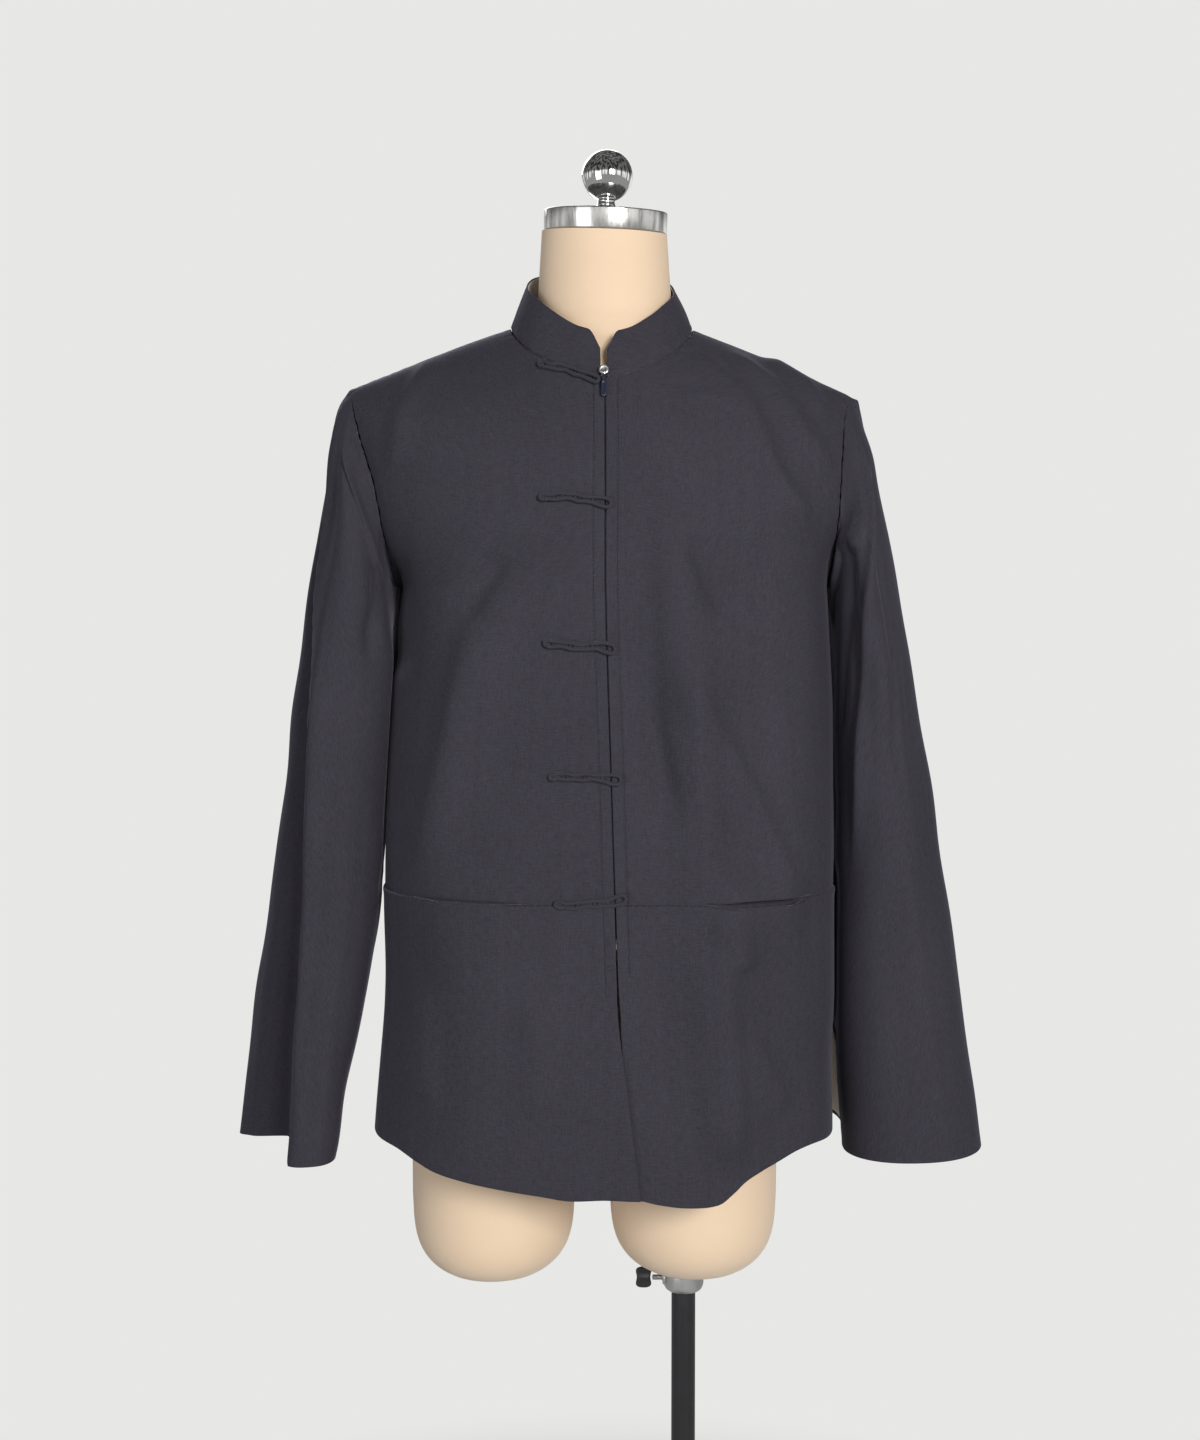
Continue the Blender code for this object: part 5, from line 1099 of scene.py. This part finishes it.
# Creases: (points in degrees and part of the length, width before and after in metres, height)
SLEEVE_CREASES = {
    "right": (
        (((35, 0.02), (40, 0.23), (51, 0.38), (66, 0.51), (70, 0.67), (74, 0.95)), 0.005, 0.016, 0.0068),
        (((24, 0.04), (28, 0.25), (40, 0.42), (54, 0.52), (58, 0.70), (62, 1.02)), 0.012, 0.006, -0.0046),
        (((58, 0.095), (98, 0.120), (140, 0.150)), 0.005, 0.010, 0.0041),
        (((78, 0.050), (100, 0.047)), 0.003, 0.006, 0.0019),
        (((128, 0.13), (122, 0.26), (104, 0.40)), 0.012, 0.012, -0.0046),
        (((300, 0.10), (270, 0.22), (255, 0.36)), 0.006, 0.013, 0.0043),
        (((100, 0.42), (96, 0.70), (100, 1.00)), 0.012, 0.014, 0.0022),
        (((225, 0.30), (232, 0.60), (228, 0.90)), 0.010, 0.013, 0.0035),
        (((340, 0.25), (330, 0.55), (322, 0.90)), 0.012, 0.013, 0.0032),
    ),
    "left": (
        (((52, 0.02), (75, 0.155), (90, 0.28), (111, 0.42), (124, 0.56), (136, 0.66)), 0.012, 0.004, 0.0068),
        (((88, 0.205), (107, 0.130), (133, 0.095), (159, 0.14), (167, 0.26)), 0.005, 0.012, 0.0054),
        (((38, 0.10), (54, 0.26), (74, 0.44), (92, 0.62)), 0.012, 0.016, -0.0041),
        (((120, 0.20), (136, 0.34), (148, 0.50)), 0.010, 0.010, -0.0035),
        (((296, 0.08), (268, 0.20), (258, 0.34)), 0.006, 0.013, 0.0043),
        (((80, 0.60), (72, 0.80), (66, 0.98)), 0.014, 0.014, 0.0022),
        (((232, 0.30), (238, 0.62), (230, 0.92)), 0.010, 0.013, 0.0035),
        (((330, 0.30), (322, 0.60), (318, 0.92)), 0.012, 0.013, 0.0032),
    ),
}
TUCK_DEPTH = {"right": 0.062, "left": 0.0}
TUCK_EDGE = 66
TUCK_LIFT = 0.13
SLEEVE_ROWS = 190
SLEEVE_COLUMNS = 132


def torso_x(side, y, z):
    """Distance from the centre plane of the jacket's side at a depth and a height."""
    level = np.minimum(z, ARMPIT_Z)
    depth = np.where(y < 0, curve(DEPTH["front"], level), curve(DEPTH["back"], level))
    x = curve(SIDES[side]["half_width"], level) * bulge(y / depth)
    return x + np.where(y < 0, 0.0030 * smooth((MOUTH_Z + 0.03 - z) / 0.03),
                        SIDES[side]["slit_flare"] * smooth((SLIT_TOP_Z - z) / 0.09))


def sleeve_creased(side, degrees, s):
    """Height of the sleeve's creases at an angle round it and a part of its length."""
    total = np.zeros(np.broadcast(degrees, s).shape)
    for points, before, after, height in SLEEVE_CREASES[side]:
        ends = np.array(points) * (0.0013, 0.60)
        middle = ends[:, 0].mean()
        round_it = middle + ((degrees * 0.0013 - middle + 0.234) % 0.468 - 0.234) + s * 0
        total = total + ridge_along(ends, round_it, s * 0.60, before, after, height)
    return total


def sleeve_points(side, s, angle):
    """Outside of the sleeve at a part of its length and an angle from its outer side through its front."""
    table = SLEEVES[side]
    key = s * (len(table) - 1)
    outer_x, outer_z, inner_x, inner_z, depth, centre, lean = (
        curve([(i, row[j]) for i, row in enumerate(table)], key) for j in range(7))
    c, sn = np.cos(angle), np.sin(angle)
    c, sn = np.copysign(np.abs(c)**0.9, c), np.copysign(np.abs(sn)**0.9, sn)
    half = (outer_x - inner_x) / 2
    sway = lean * depth
    width = np.sqrt(half**2 - sway**2)
    rise = (outer_z - inner_z) / 2
    x = inner_x + half + width * c - sway * sn
    y = centre - depth * sn
    z = inner_z + rise + rise * c
    degrees = np.degrees(angle)
    fold = sleeve_creased(side, degrees, s)
    for middle, spread, start, end, height in SLEEVE_FOLDS[side]:
        turn = (degrees - middle + 180) % 360 - 180
        fold = fold + height * np.exp(-(turn / spread)**2) * smooth((s - start) / 0.12) * smooth((end - s) / 0.12)
    out = unit(np.stack((c / np.maximum(width, 0.01), -sn / depth), -1))
    turn = (degrees + 180) % 360 - 180
    share = smooth((TUCK_EDGE - turn) / 16) * smooth((turn + 50) / (TUCK_EDGE + 50))
    tuck = TUCK_DEPTH[side] * np.maximum(0.0, s)**1.15 * share
    x, y, z = x + out[..., 0] * fold, y + out[..., 1] * fold + tuck, z + TUCK_LIFT * tuck
    clear = torso_x(side, y, z) + 0.0012
    excess = x - clear
    x = np.where(z < ARMPIT_Z, clear + (excess + np.hypot(excess, 0.003)) / 2, x)
    return np.stack((SIDES[side]["sign"] * x, y, z), -1)


def armhole_points(side, angle):
    """Points of the armhole by the sleeve's angle, and the direction away from the body there."""
    yoke = np.minimum(angle, 2 * math.pi - angle) / 2
    ring = np.where((angle <= math.pi)[:, None],
                    jacket_points(side, "front", armhole_x(side, yoke), ARMPIT_Z, yoke),
                    jacket_points(side, "back", armhole_x(side, yoke), ARMPIT_Z, yoke))
    sign = SIDES[side]["sign"]
    middle = np.array((sign * (SIDES[side]["armhole"][-1][1] + 0.012), 0, 1.285))
    inward = unit(middle - ring)
    inward[:, 0] -= sign * (0.1 + 0.9 * ((1 - np.cos(2 * yoke)) / 2)**2)
    away = unit(np.cross(np.roll(ring, -1, 0) - np.roll(ring, 1, 0), inward))
    return ring, away * np.sign(away[:, :1] * sign)


def sleeve_grid(side):
    """Grid of a sleeve from the armhole to the cuff; its columns start at the underarm seam."""
    angle = (math.pi + np.linspace(0, 2 * math.pi, SLEEVE_COLUMNS, endpoint=False)) % (2 * math.pi)
    s = np.linspace(0, 1, SLEEVE_ROWS)[:, None]
    grid = sleeve_points(side, s, angle[None])
    ring, away = armhole_points(side, angle)
    hold = 1 - smooth(s / 0.16)
    grid = grid + (ring - grid[0])[None] * hold[..., None]
    grid[0] = ring + away * SEAM_GAP
    u, v = run(np.concatenate((grid, grid[:, :1]), 1), 1), run(grid, 0)
    around = u[:, -1:]
    u = u[:, :-1]
    seam = np.minimum(u, around - u)
    rise = 0.0006 * drift(u, v, 11 if side == "left" else 12, 0.10) * smooth(v / 0.03) * smooth(seam / 0.02)
    rise += seam_pucker(v, u, 7.0, 0.00034) + seam_pucker(seam, v, 8.0, 0.0002)
    out = normals(grid, closed=True)
    out = out * np.sign((out * (grid - grid.mean(1, keepdims=True))).sum())
    return grid + out * rise[..., None]


sleeve_grids = {side: sleeve_grid(side) for side in SIDES}
for side, grid in sleeve_grids.items():
    sleeve = cloth_piece("jacket_sleeve_" + side, grid, closed=True)
    dress(sleeve, charcoal, "form", "jacket_cloth", "sleeve_" + side)

# --- Collar ---------------------------------------------------------------------------------------
# Stand collar with rounded front corners, interfaced so that it holds its shape, of the same cloth
# outside and pale poplin inside, turned at its top edge and seamed into the neckline.

COLLAR_END_GAP = 0.0026
COLLAR_CORNER = 0.017
COLLAR_ROWS = 26
# Top edge: (degrees from the centre front, z)
COLLAR_TOP = ((0, 1.4150), (20, 1.4210), (40, 1.4345), (60, 1.4490), (90, 1.4660), (115, 1.4790),
              (145, 1.4880), (180, 1.4910))


def neckline():
    """Even points of the neckline from the right front end round the back to the left front end."""
    halves = []
    middle = float(centre_x(NECK_Z["front"]))
    for side in ("right", "left"):
        sign, neck_x = SIDES[side]["sign"], SIDES[side]["neck_x"]
        start = COLLAR_END_GAP + sign * middle
        line = []
        for face, low in (("front", start), ("back", 0.0)):
            x = neck_x * np.sin(np.linspace(math.asin(low / neck_x), math.pi / 2, 160))
            z = neckline_z(side, face, x)
            line.append(jacket_points(side, face, x, ARMPIT_Z, yoke_at(side, x, z)))
        halves.append(np.concatenate((line[0], line[1][-2::-1])))
    whole = np.concatenate((halves[0][:-1], halves[1][::-1]))
    along = run(whole[None], 1)[0]
    even = np.linspace(0, along[-1], 168)
    return np.stack([np.interp(even, along, whole[:, i]) for i in range(3)], 1)


def collar_grid():
    base = neckline()
    along = run(base[None], 1)[0]
    end = np.minimum(along, along[-1] - along)
    angle = np.arctan2(base[:, 0], -base[:, 1])
    turn = np.abs(np.degrees(angle))
    half_x = np.where(base[:, 0] < 0, 0.0695, 0.0630)
    half_y = np.where(turn < 90, 0.0690, 0.0650)
    top = np.stack((half_x * np.sin(angle), -half_y * np.cos(angle) - 0.002,
                    curve(COLLAR_TOP, turn) - 0.028 * base[:, 0]), 1)
    pull = np.exp(-(end / 0.007)**2)
    top[:, 0] += pull * (base[:, 0] + np.sign(base[:, 0]) * 0.0005 - top[:, 0])
    corner = 0.62 + 0.38 * np.sin(math.pi / 2 * np.minimum(1.0, end / COLLAR_CORNER))**0.8
    flat = unit(base * (1, 1, 0))
    inward = -flat * 0.82 + np.array((0, 0, -0.57))
    away = unit(np.cross(np.gradient(base, axis=0), inward))
    away *= np.sign(away[:, 2:])
    start = base + away * 0.0004
    reach = base + (top - base) * corner[:, None]
    shares = np.linspace(0, 1, COLLAR_ROWS)[:, None]
    grid = start[None] + (reach - start)[None] * shares[..., None]
    out = normals(grid)
    out = out * np.sign((out * (grid - grid.mean(1, keepdims=True))).sum())
    up, u = run(grid, 0), run(grid, 1)
    bow = 0.0012 * np.sin(math.pi * shares) * smooth(end / 0.02)
    rise = bow + seam_pucker(up, u, 9.0, 0.00034) + 0.0003 * drift(u, up, 21, 0.05) * smooth(up / 0.01)
    edge = np.minimum(up[-1:] - up, np.minimum(u, u[:, -1:] - u) + 0.0008)
    rise -= 0.00018 * np.exp(-((edge - 0.0035) / 0.0008)**2)
    grid = grid + out * rise[..., None]
    grid[0] -= out[0] * 0.0016 + unit(grid[1] - grid[0]) * 0.0012
    return grid


collar = collar_grid()
collar_piece = cloth_piece("jacket_collar", collar, thickness=0.0014, grain=84)
dress(collar_piece, charcoal, "form", "jacket_cloth", "collar")
collar_out = normals(collar)
collar_out = collar_out * np.sign((collar_out * (collar - collar.mean(1, keepdims=True))).sum())
lining = (collar - collar_out * 0.0015)[3:, 2:-2]
lining[-1] -= unit(lining[-1] - lining[-2]) * 0.0006
lining_piece = cloth_piece("collar_lining", lining, thickness=0.0007, grain=82)
dress(lining_piece, poplin, "form", "pale_facing", "collar_facing")

# --- Zip ------------------------------------------------------------------------------------------
# Nylon coil zip on woven tape, sewn behind the front edges, separating at a metal pin and box. Its
# plated slider stands at the neck with a moulded navy pull hung from a bent wire link.

TAPE_HALF = 0.0095


def front_places(line):
    """Points and outward normals of the smooth front under (x, z) pairs."""
    found = []
    for shift_x, shift_z in ((0, 0), (0.002, 0), (-0.002, 0), (0, 0.002), (0, -0.002)):
        x, z = line[:, 0] + shift_x, line[:, 1] + shift_z
        per_side = []
        for side in ("right", "left"):
            reach = np.abs(x)
            level = np.minimum(z, ARMPIT_Z)
            yoke = np.where(z > ARMPIT_Z, yoke_at(side, reach, z), math.pi / 2)
            per_side.append(jacket_points(side, "front", reach, level, yoke)
                            * (SIDES[side]["sign"] * np.sign(x + 1e-9)[:, None] * (1, 0, 0) + (0, 1, 1)))
        found.append(np.where((x < 0)[:, None], per_side[0], per_side[1]))
    across, up = unit(found[1] - found[2]), unit(found[3] - found[4])
    return found[0], unit(np.cross(across, up))


zip_z = np.linspace(ZIP_LOW + 0.0045, NECK_Z["front"] - 0.002, 150)
zip_mid, zip_out = front_places(np.stack((centre_x(zip_z), np.minimum(zip_z, 1.3700)), 1))
zip_mid[:, 2] = zip_z
zip_mid[-6:, 1] = zip_mid[-6, 1] + np.linspace(0, 1, 6) * (zip_mid[-6, 1] - zip_mid[-11, 1])
offsets = np.linspace(-TAPE_HALF, TAPE_HALF, 15)
tape = zip_mid[:, None] + offsets[None, :, None] * np.array((1, 0, 0)) - zip_out[:, None] * (CLOTH + 0.0013)
tape_piece = cloth_piece("zip_tape_woven", tape, thickness=0.0006, outward=np.array((0.0, -1.0, 0.0)), grain=7)
dress(tape_piece, plain_weave("zip_tape_twill", (0.016, 0.018, 0.030), (0.036, 0.038, 0.056), 0.0005),
      "form", "zip_tape", "zip_tape")

coil = coated("nylon_coil", (0.008, 0.009, 0.018), (0.018, 0.020, 0.036), 0.40, 2600.0)
tooth_lines = [zip_mid + np.array((side * 0.0009, 0, 0)) - zip_out * (CLOTH + 0.0007)
               + np.array((0, 0, side * 0.00033))
               for side in (-1, 1)]
teeth = row_of("zip_coil", tooth_lines, coil, 0.00132, 0.0030, 0.0014, 0.00072)
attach(teeth, "form")

plated = brushed("plated_metal", (0.72, 0.72, 0.70), (0.92, 0.91, 0.88), 0.28, (1.0, 1.0, 1.0), 300.0)


def block(name, centre, size, axes, corner, taper=0.0):
    """Rounded block on its own three axes, its far end drawn in by taper."""
    bm = bmesh.new()
    bmesh.ops.create_cube(bm, size=1.0)
    for vert in bm.verts:
        vert.co = Vector((vert.co.x * size[0] * (1 - taper * (vert.co.z + 0.5)), vert.co.y * size[1],
                          vert.co.z * size[2]))
    bmesh.ops.bevel(bm, geom=bm.edges[:], offset=corner, segments=3, affect="EDGES", profile=0.5)
    points = np.array([v.co for v in bm.verts]) @ np.array(axes) + np.array(centre)
    bm.verts.index_update()
    faces = [tuple(v.index for v in f.verts) for f in bm.faces]
    bm.free()
    return piece(name, points, faces)


box_mid, box_out = front_places(np.array(((float(centre_x(ZIP_LOW)), ZIP_LOW - 0.0052),)))
box_mid, box_out = box_mid[0], box_out[0]
box_up = unit(np.cross(box_out, (1.0, 0.0, 0.0)))
box_axes = ((1.0, 0.0, 0.0), tuple(box_out), tuple(box_up))
seat = box_mid - box_out * (CLOTH + 0.0021)
box = block("zip_box_body", seat + box_up * 0.0006, (0.0072, 0.0022, 0.0078), box_axes, 0.0006, 0.06)
dress(box, coated("black_moulding", (0.008, 0.008, 0.010), (0.016, 0.016, 0.020), 0.4, 1500.0),
      "form", "zip_metal", "zip_box")
pin = block("zip_pin", seat + box_up * 0.0092 + box_out * 0.0006, (0.0017, 0.0017, 0.0092), box_axes, 0.0005)
dress(pin, plated, "form", "zip_metal")


def swept(name, path, out, half_across, half_rise, closed, sides=14):
    """Cord along a path: an oval section laid on the out direction."""
    path, out = np.asarray(path, float), np.asarray(out, float)
    if closed:
        ahead = unit(np.roll(path, -1, 0) - np.roll(path, 1, 0))
    else:
        ahead = unit(np.gradient(path, axis=0))
    across = unit(np.cross(ahead, out))
    rise = np.cross(across, ahead)
    a = np.linspace(0, 2 * math.pi, sides, endpoint=False)
    size = (np.ones((len(path), 1)) if closed
            else np.sqrt(np.clip(1 - np.linspace(-1, 1, len(path))**16, 0, 1))[:, None])
    wide, high = (np.broadcast_to(half_across, len(path))[:, None] * size,
                  np.broadcast_to(half_rise, len(path))[:, None] * size)
    rings = (path[:, None] + across[:, None] * (wide * np.cos(a))[..., None]
             + rise[:, None] * (high * np.sin(a))[..., None])
    count = len(path)
    last = count if closed else count - 1
    faces = [(i * sides + j, i * sides + (j + 1) % sides, (i + 1) % count * sides + (j + 1) % sides,
              (i + 1) % count * sides + j) for i in range(last) for j in range(sides)]
    return piece(name, rings.reshape(-1, 3), faces, sharp=80)


neck_mid = front_places(np.array(((float(centre_x(1.375)), 1.375),)))[0][0]
neck_mid = np.array((float(centre_x(1.375)), neck_mid[1], 1.375))
slider_centre = (neck_mid[0], neck_mid[1] - 0.0012, neck_mid[2] + 0.0044)
disc = turned("slider_disc", [(0.0, -0.0021), (0.0032, -0.0021), (0.0040, -0.0018), (0.0044, -0.0012),
                              (0.0044, 0.0010),
                              (0.0041, 0.0016), (0.0035, 0.0019), (0.0031, 0.0019), (0.0029, 0.0016),
                              (0.0027, 0.0015),
                              (0.0, 0.0015)], slider_centre, steps=64, tilt=(math.radians(70), 0.0))
hinge = np.array((neck_mid[0], neck_mid[1] - 0.0054, neck_mid[2] + 0.0006))
legs = np.array(((-0.0022, 0.0016, 0.0030), (-0.0016, 0.0006, 0.0012), (-0.0008, -0.0001, -0.0004),
                 (0.0, -0.0003, -0.0008),
                 (0.0008, -0.0001, -0.0004), (0.0016, 0.0006, 0.0012), (0.0022, 0.0016, 0.0030)))
link_path = np.stack([np.interp(np.linspace(0, 6, 31), np.arange(7), (legs + hinge)[:, i]) for i in range(3)], 1)
link = swept("slider_link", link_path, np.tile((0.0, -1.0, 0.0), (31, 1)), 0.00034, 0.00034, False, 10)
dress(joined(disc, link), plated, "form", "zip_metal", "zip_slider")


def pull_tab():
    """Flat rounded tab with an eye for the link and a long slot down its middle."""
    below = front_places(np.array(((hinge[0], 1.354),)))[0][0]
    down = unit(np.array((0.0, below[1] - 0.0030 - hinge[1], 1.354 - hinge[2])))
    out = unit(np.cross((1.0, 0.0, 0.0), down))
    rows = np.array(((0.0, 0.0006, 0.0005), (0.0006, 0.0010, 0.0007), (0.0014, 0.0015, 0.0010),
                     (0.0030, 0.0018, 0.0014), (0.0040, 0.0014, 0.0013), (0.0050, 0.0015, 0.0013),
                     (0.0064, 0.0021, 0.0015), (0.0090, 0.0023, 0.0015), (0.0150, 0.0024, 0.0015),
                     (0.0190, 0.0025, 0.0015), (0.0206, 0.0023, 0.0014), (0.0214, 0.0018, 0.0012),
                     (0.0219, 0.0008, 0.0008)))
    steps = np.linspace(0, 0.0219, 60)
    wide = np.interp(steps, rows[:, 0], rows[:, 1])
    thick = np.interp(steps, rows[:, 0], rows[:, 2])
    slot = smooth((steps - 0.0075) / 0.0012) * smooth((0.0192 - steps) / 0.0012)
    points = []
    for step, w, t, cut in zip(steps, wide, thick, slot):
        for a in np.linspace(0, 2 * math.pi, 48, endpoint=False):
            c, s = math.cos(a), math.sin(a)
            x, y = math.copysign(abs(c)**0.5, c) * w, math.copysign(abs(s)**0.35, s) * t / 2
            y *= 1 - 0.55 * cut * (1 - float(smooth((abs(x) - 0.0007) / 0.0004)))
            points.append(hinge + down * (0.0004 + step * 0.95) + np.array((x, 0, 0)) - out * y)
    faces = [(i * 48 + k, i * 48 + (k + 1) % 48, (i + 1) * 48 + (k + 1) % 48, (i + 1) * 48 + k)
             for i in range(59) for k in range(48)]
    faces += [tuple(range(48)), tuple(range(59 * 48, 60 * 48))]
    return piece("pull_tab_moulded", points, faces, sharp=50)


dress(pull_tab(), coated("navy_moulding", (0.008, 0.011, 0.026), (0.016, 0.020, 0.044), 0.38, 1600.0),
      "zip_pull", "pull_tab", "zip_pull")

# --- Frogs ----------------------------------------------------------------------------------------
# Five straight frogs of the jacket's cloth, cut on the bias, rolled into a thin cord and doubled. Each
# is sewn down on the right front with a stitched fold at one end and an open loop at the other.

# (x and z of the sewn end, x and z of the loop's tip, sag of the middle, loop's half width, loop's tilt)
FROGS = (
    (-0.0552, 1.3854, -0.0048, 1.3704, 0.0006, 0.0027, -0.0012),
    (-0.0536, 1.2690, 0.0053, 1.2650, 0.0012, 0.0036, -0.0018),
    (-0.0498, 1.1475, 0.0085, 1.1440, -0.0014, 0.0038, -0.0020),
    (-0.0455, 1.0360, 0.0134, 1.0350, 0.0010, 0.0038, -0.0014),
    (-0.0404, 0.9303, 0.0175, 0.9325, -0.0010, 0.0036, 0.0026),
)
CORD_ACROSS = 0.0017
CORD_RISE = 0.0019
CORD_APART = 0.0026


def frog_line(frog, share, across):
    """World x and z at a share of a frog's length and a distance across it."""
    x0, z0, x1, z1, sag, loop, tilt = frog
    length = math.hypot(x1 - x0, z1 - z0)
    along = unit(np.array((x1 - x0, z1 - z0)))
    waver = 0.0007 * np.sin(share * 11.0 + x0 * 400) * smooth(share / 0.2) * smooth((0.72 - share) / 0.2)
    bend = sag * np.sin(math.pi * np.clip(share / 0.75, 0, 1)) + tilt * smooth((share - 0.72) / 0.28) + waver
    spot = np.array((x0, z0)) + share[:, None] * length * along
    return spot + (across + bend)[:, None] * np.array((-along[1], along[0]))


def frog_path(frog):
    """Closed line of the doubled cord, the sewn fold first, then out to the loop and back."""
    length = math.hypot(frog[2] - frog[0], frog[3] - frog[1])
    loop = frog[5]
    share = np.linspace(0.03, 1 - loop / length, 60)
    half = CORD_APART / 2 + 0.0008 + (loop - CORD_APART / 2 - 0.0008) * smooth((share - 0.70) / 0.18)
    half = half + 0.0004 * np.sin(share * 23 + frog[0] * 900) * smooth((0.7 - share) / 0.1)
    turn = np.linspace(-math.pi / 2, math.pi / 2, 14)[1:-1]
    tip_share, tip_across = share[-1] + np.cos(turn) * loop / length, half[-1] * np.sin(turn)
    back_turn = np.linspace(math.pi / 2, 3 * math.pi / 2, 10)[1:-1]
    fold_share, fold_across = share[0] + np.cos(back_turn) * half[0] / length, half[0] * np.sin(back_turn)
    shares = np.r_[share, tip_share, share[::-1], fold_share]
    acrosses = np.r_[-half, tip_across, half[::-1], fold_across]
    return frog_line(frog, shares, acrosses)


for number, frog in enumerate(FROGS, start=1):
    flat_line = frog_path(frog)
    middle, out = front_places(flat_line)
    cord = swept("cord_%d" % number, middle + out * (CORD_RISE + 0.0003), out, CORD_ACROSS, CORD_RISE, True, 16)
    roll = frog_line(frog, np.full(17, 0.035), np.linspace(-0.0030, 0.0030, 17))
    roll_mid, roll_out = front_places(roll)
    fold = swept("fold_%d" % number, roll_mid + roll_out * 0.0019, roll_out, 0.0015, 0.0014, False, 14)
    body = joined(cord, fold)
    body.name = "frog_cord_%d" % number
    dress(body, charcoal, "form", "frog_cord", "frog_%d" % number)

# Stitches down each frog's middle and across its fold end, in the thread darkened as painted shade round the cords.
stitch_lines = []
for frog in FROGS:
    share = np.linspace(0.06, 0.74, 24)
    middle, out = front_places(frog_line(frog, share, np.zeros(24)))
    stitch_lines.append(middle + out * (CORD_RISE * 1.1))
    for place in (0.055, 0.085):
        middle, out = front_places(frog_line(frog, np.full(8, place), np.linspace(-0.0028, 0.0028, 8)))
        stitch_lines.append(middle + out * (CORD_RISE * 2 + 0.0004))
frog_stitches = row_of("frog_stitching", stitch_lines, thread_darkened_as_painted_shade, 0.0036, 0.0013, 0.0009, 0.0028)
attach(frog_stitches, "form")

# --- Room -----------------------------------------------------------------------------------------
# Plain pale studio: a floor that runs out into the pale surroundings, a broad soft light from the
# front right, weaker ones from the front left and from behind, and the light of the room itself.

BACKDROP = (0.80, 0.80, 0.785)
SHADE_SHARE = 0.42


def backdrop_strength(tree):
    """Full strength where the backdrop is looked at, and less of it as light on the object."""
    path = node(tree, "LightPath")
    strength = node(tree, "MapRange", [("Value", path.outputs["Is Camera Ray"])], To_Min=SHADE_SHARE, To_Max=1.0)
    return strength.outputs["Result"]


def floor_finish():
    """Matt pale floor that passes into the colour of the surroundings away from the object."""
    material, tree, shader = finish("pale_floor", 0.9)
    shader.inputs["Base Color"].default_value = (0.66, 0.66, 0.65, 1)
    place = node(tree, "TexCoord")
    size = node(tree, "VectorMath", operation="LENGTH")
    tree.links.new(place.outputs["Object"], size.inputs[0])
    far = node(tree, "MapRange", [("Value", size.outputs["Value"])], From_Min=0.5, From_Max=1.0,
               interpolation_type="SMOOTHSTEP")
    glow = node(tree, "Emission", [("Strength", backdrop_strength(tree))])
    glow.inputs["Color"].default_value = (*BACKDROP, 1)
    mixed = node(tree, "MixShader")
    tree.links.new(far.outputs["Result"], mixed.inputs[0])
    tree.links.new(shader.outputs["BSDF"], mixed.inputs[1])
    tree.links.new(glow.outputs["Emission"], mixed.inputs[2])
    tree.links.new(mixed.outputs["Shader"], tree.nodes["Material Output"].inputs["Surface"])
    return material


floor = piece("studio_floor", [(-14, -14, -0.0005), (14, -14, -0.0005), (14, 14, -0.0005), (-14, 14, -0.0005)],
              [(0, 1, 2, 3)])
floor.data.materials.append(floor_finish())


def soft_light(name, place, target, width, height, power, colour):
    """Soft rectangular light aimed at a point."""
    data = bpy.data.lights.new(name, "AREA")
    data.shape, data.size, data.size_y = "RECTANGLE", width, height
    data.energy, data.color = power, colour
    obj = bpy.data.objects.new(name, data)
    bpy.context.scene.collection.objects.link(obj)
    obj.location = place
    obj.rotation_euler = (Vector(target) - Vector(place)).to_track_quat("-Z", "Y").to_euler()


soft_light("window", (1.15, -2.9, 1.85), (0, 0, 0.98), 1.0, 1.0, 93, (1.0, 0.985, 0.96))
soft_light("fill", (-1.9, -2.2, 1.1), (0, 0, 0.95), 1.4, 1.8, 19, (0.96, 0.975, 1.0))
soft_light("back_fill", (-0.6, 2.4, 2.9), (0, 0, 1.1), 2.0, 1.4, 24, (1.0, 1.0, 1.0))

world = bpy.data.worlds.new("room")
world.use_nodes = True
room = world.node_tree
sky = room.nodes["Background"]
# The room as light and in polished metal: a bright band at eye level with upright frames, darker above
direction = node(room, "TexCoord").outputs["Generated"]
height = node(room, "SeparateXYZ", [("Vector", direction)]).outputs["Z"]
band = node(room, "ValToRGB", [("Fac", node(room, "MapRange", [("Value", height)],
                                            From_Min=-1.0, From_Max=1.0).outputs["Result"])])
band.color_ramp.elements[0].color = (0.20, 0.19, 0.18, 1)
band.color_ramp.elements[1].color = (0.16, 0.16, 0.16, 1)
for place, level in ((0.36, 0.20), (0.45, 0.66), (0.58, 0.84), (0.64, 0.15), (0.84, 0.10)):
    band.color_ramp.elements.new(place).color = (level, level, level * 0.985, 1)
frames = node(room, "Mapping", [("Vector", direction)], Scale=(1.0, 1.0, 0.0))
uprights = node(room, "TexNoise", [("Vector", frames.outputs["Vector"])], Scale=7.0, Detail=0.0)
share = node(room, "MapRange", [("Value", uprights.outputs["Fac"])], From_Min=0.42, From_Max=0.58,
             To_Min=0.25, To_Max=1.45)
lit = node(room, "MixRGB", [("Color1", band.outputs["Color"])], blend_type="MULTIPLY")
lit.inputs["Fac"].default_value = 1.0
room.links.new(share.outputs["Result"], lit.inputs["Color2"])
seen = node(room, "MixRGB", [("Fac", node(room, "LightPath").outputs["Is Camera Ray"]),
                               ("Color1", lit.outputs["Color"])])
seen.inputs["Color2"].default_value = (*BACKDROP, 1)
room.links.new(seen.outputs["Color"], sky.inputs["Color"])
scene = bpy.context.scene
scene.world = world
scene.view_settings.view_transform = "Standard"

camera = bpy.data.objects.new("camera", bpy.data.cameras.new("camera"))
camera.data.lens, camera.data.sensor_width = 44.0, 36.0
camera.location = (-0.004, -1.6, 1.15)
camera.rotation_euler = (math.pi / 2 - math.atan(80 / 1760), 0, 0)
scene.collection.objects.link(camera)
scene.camera = camera
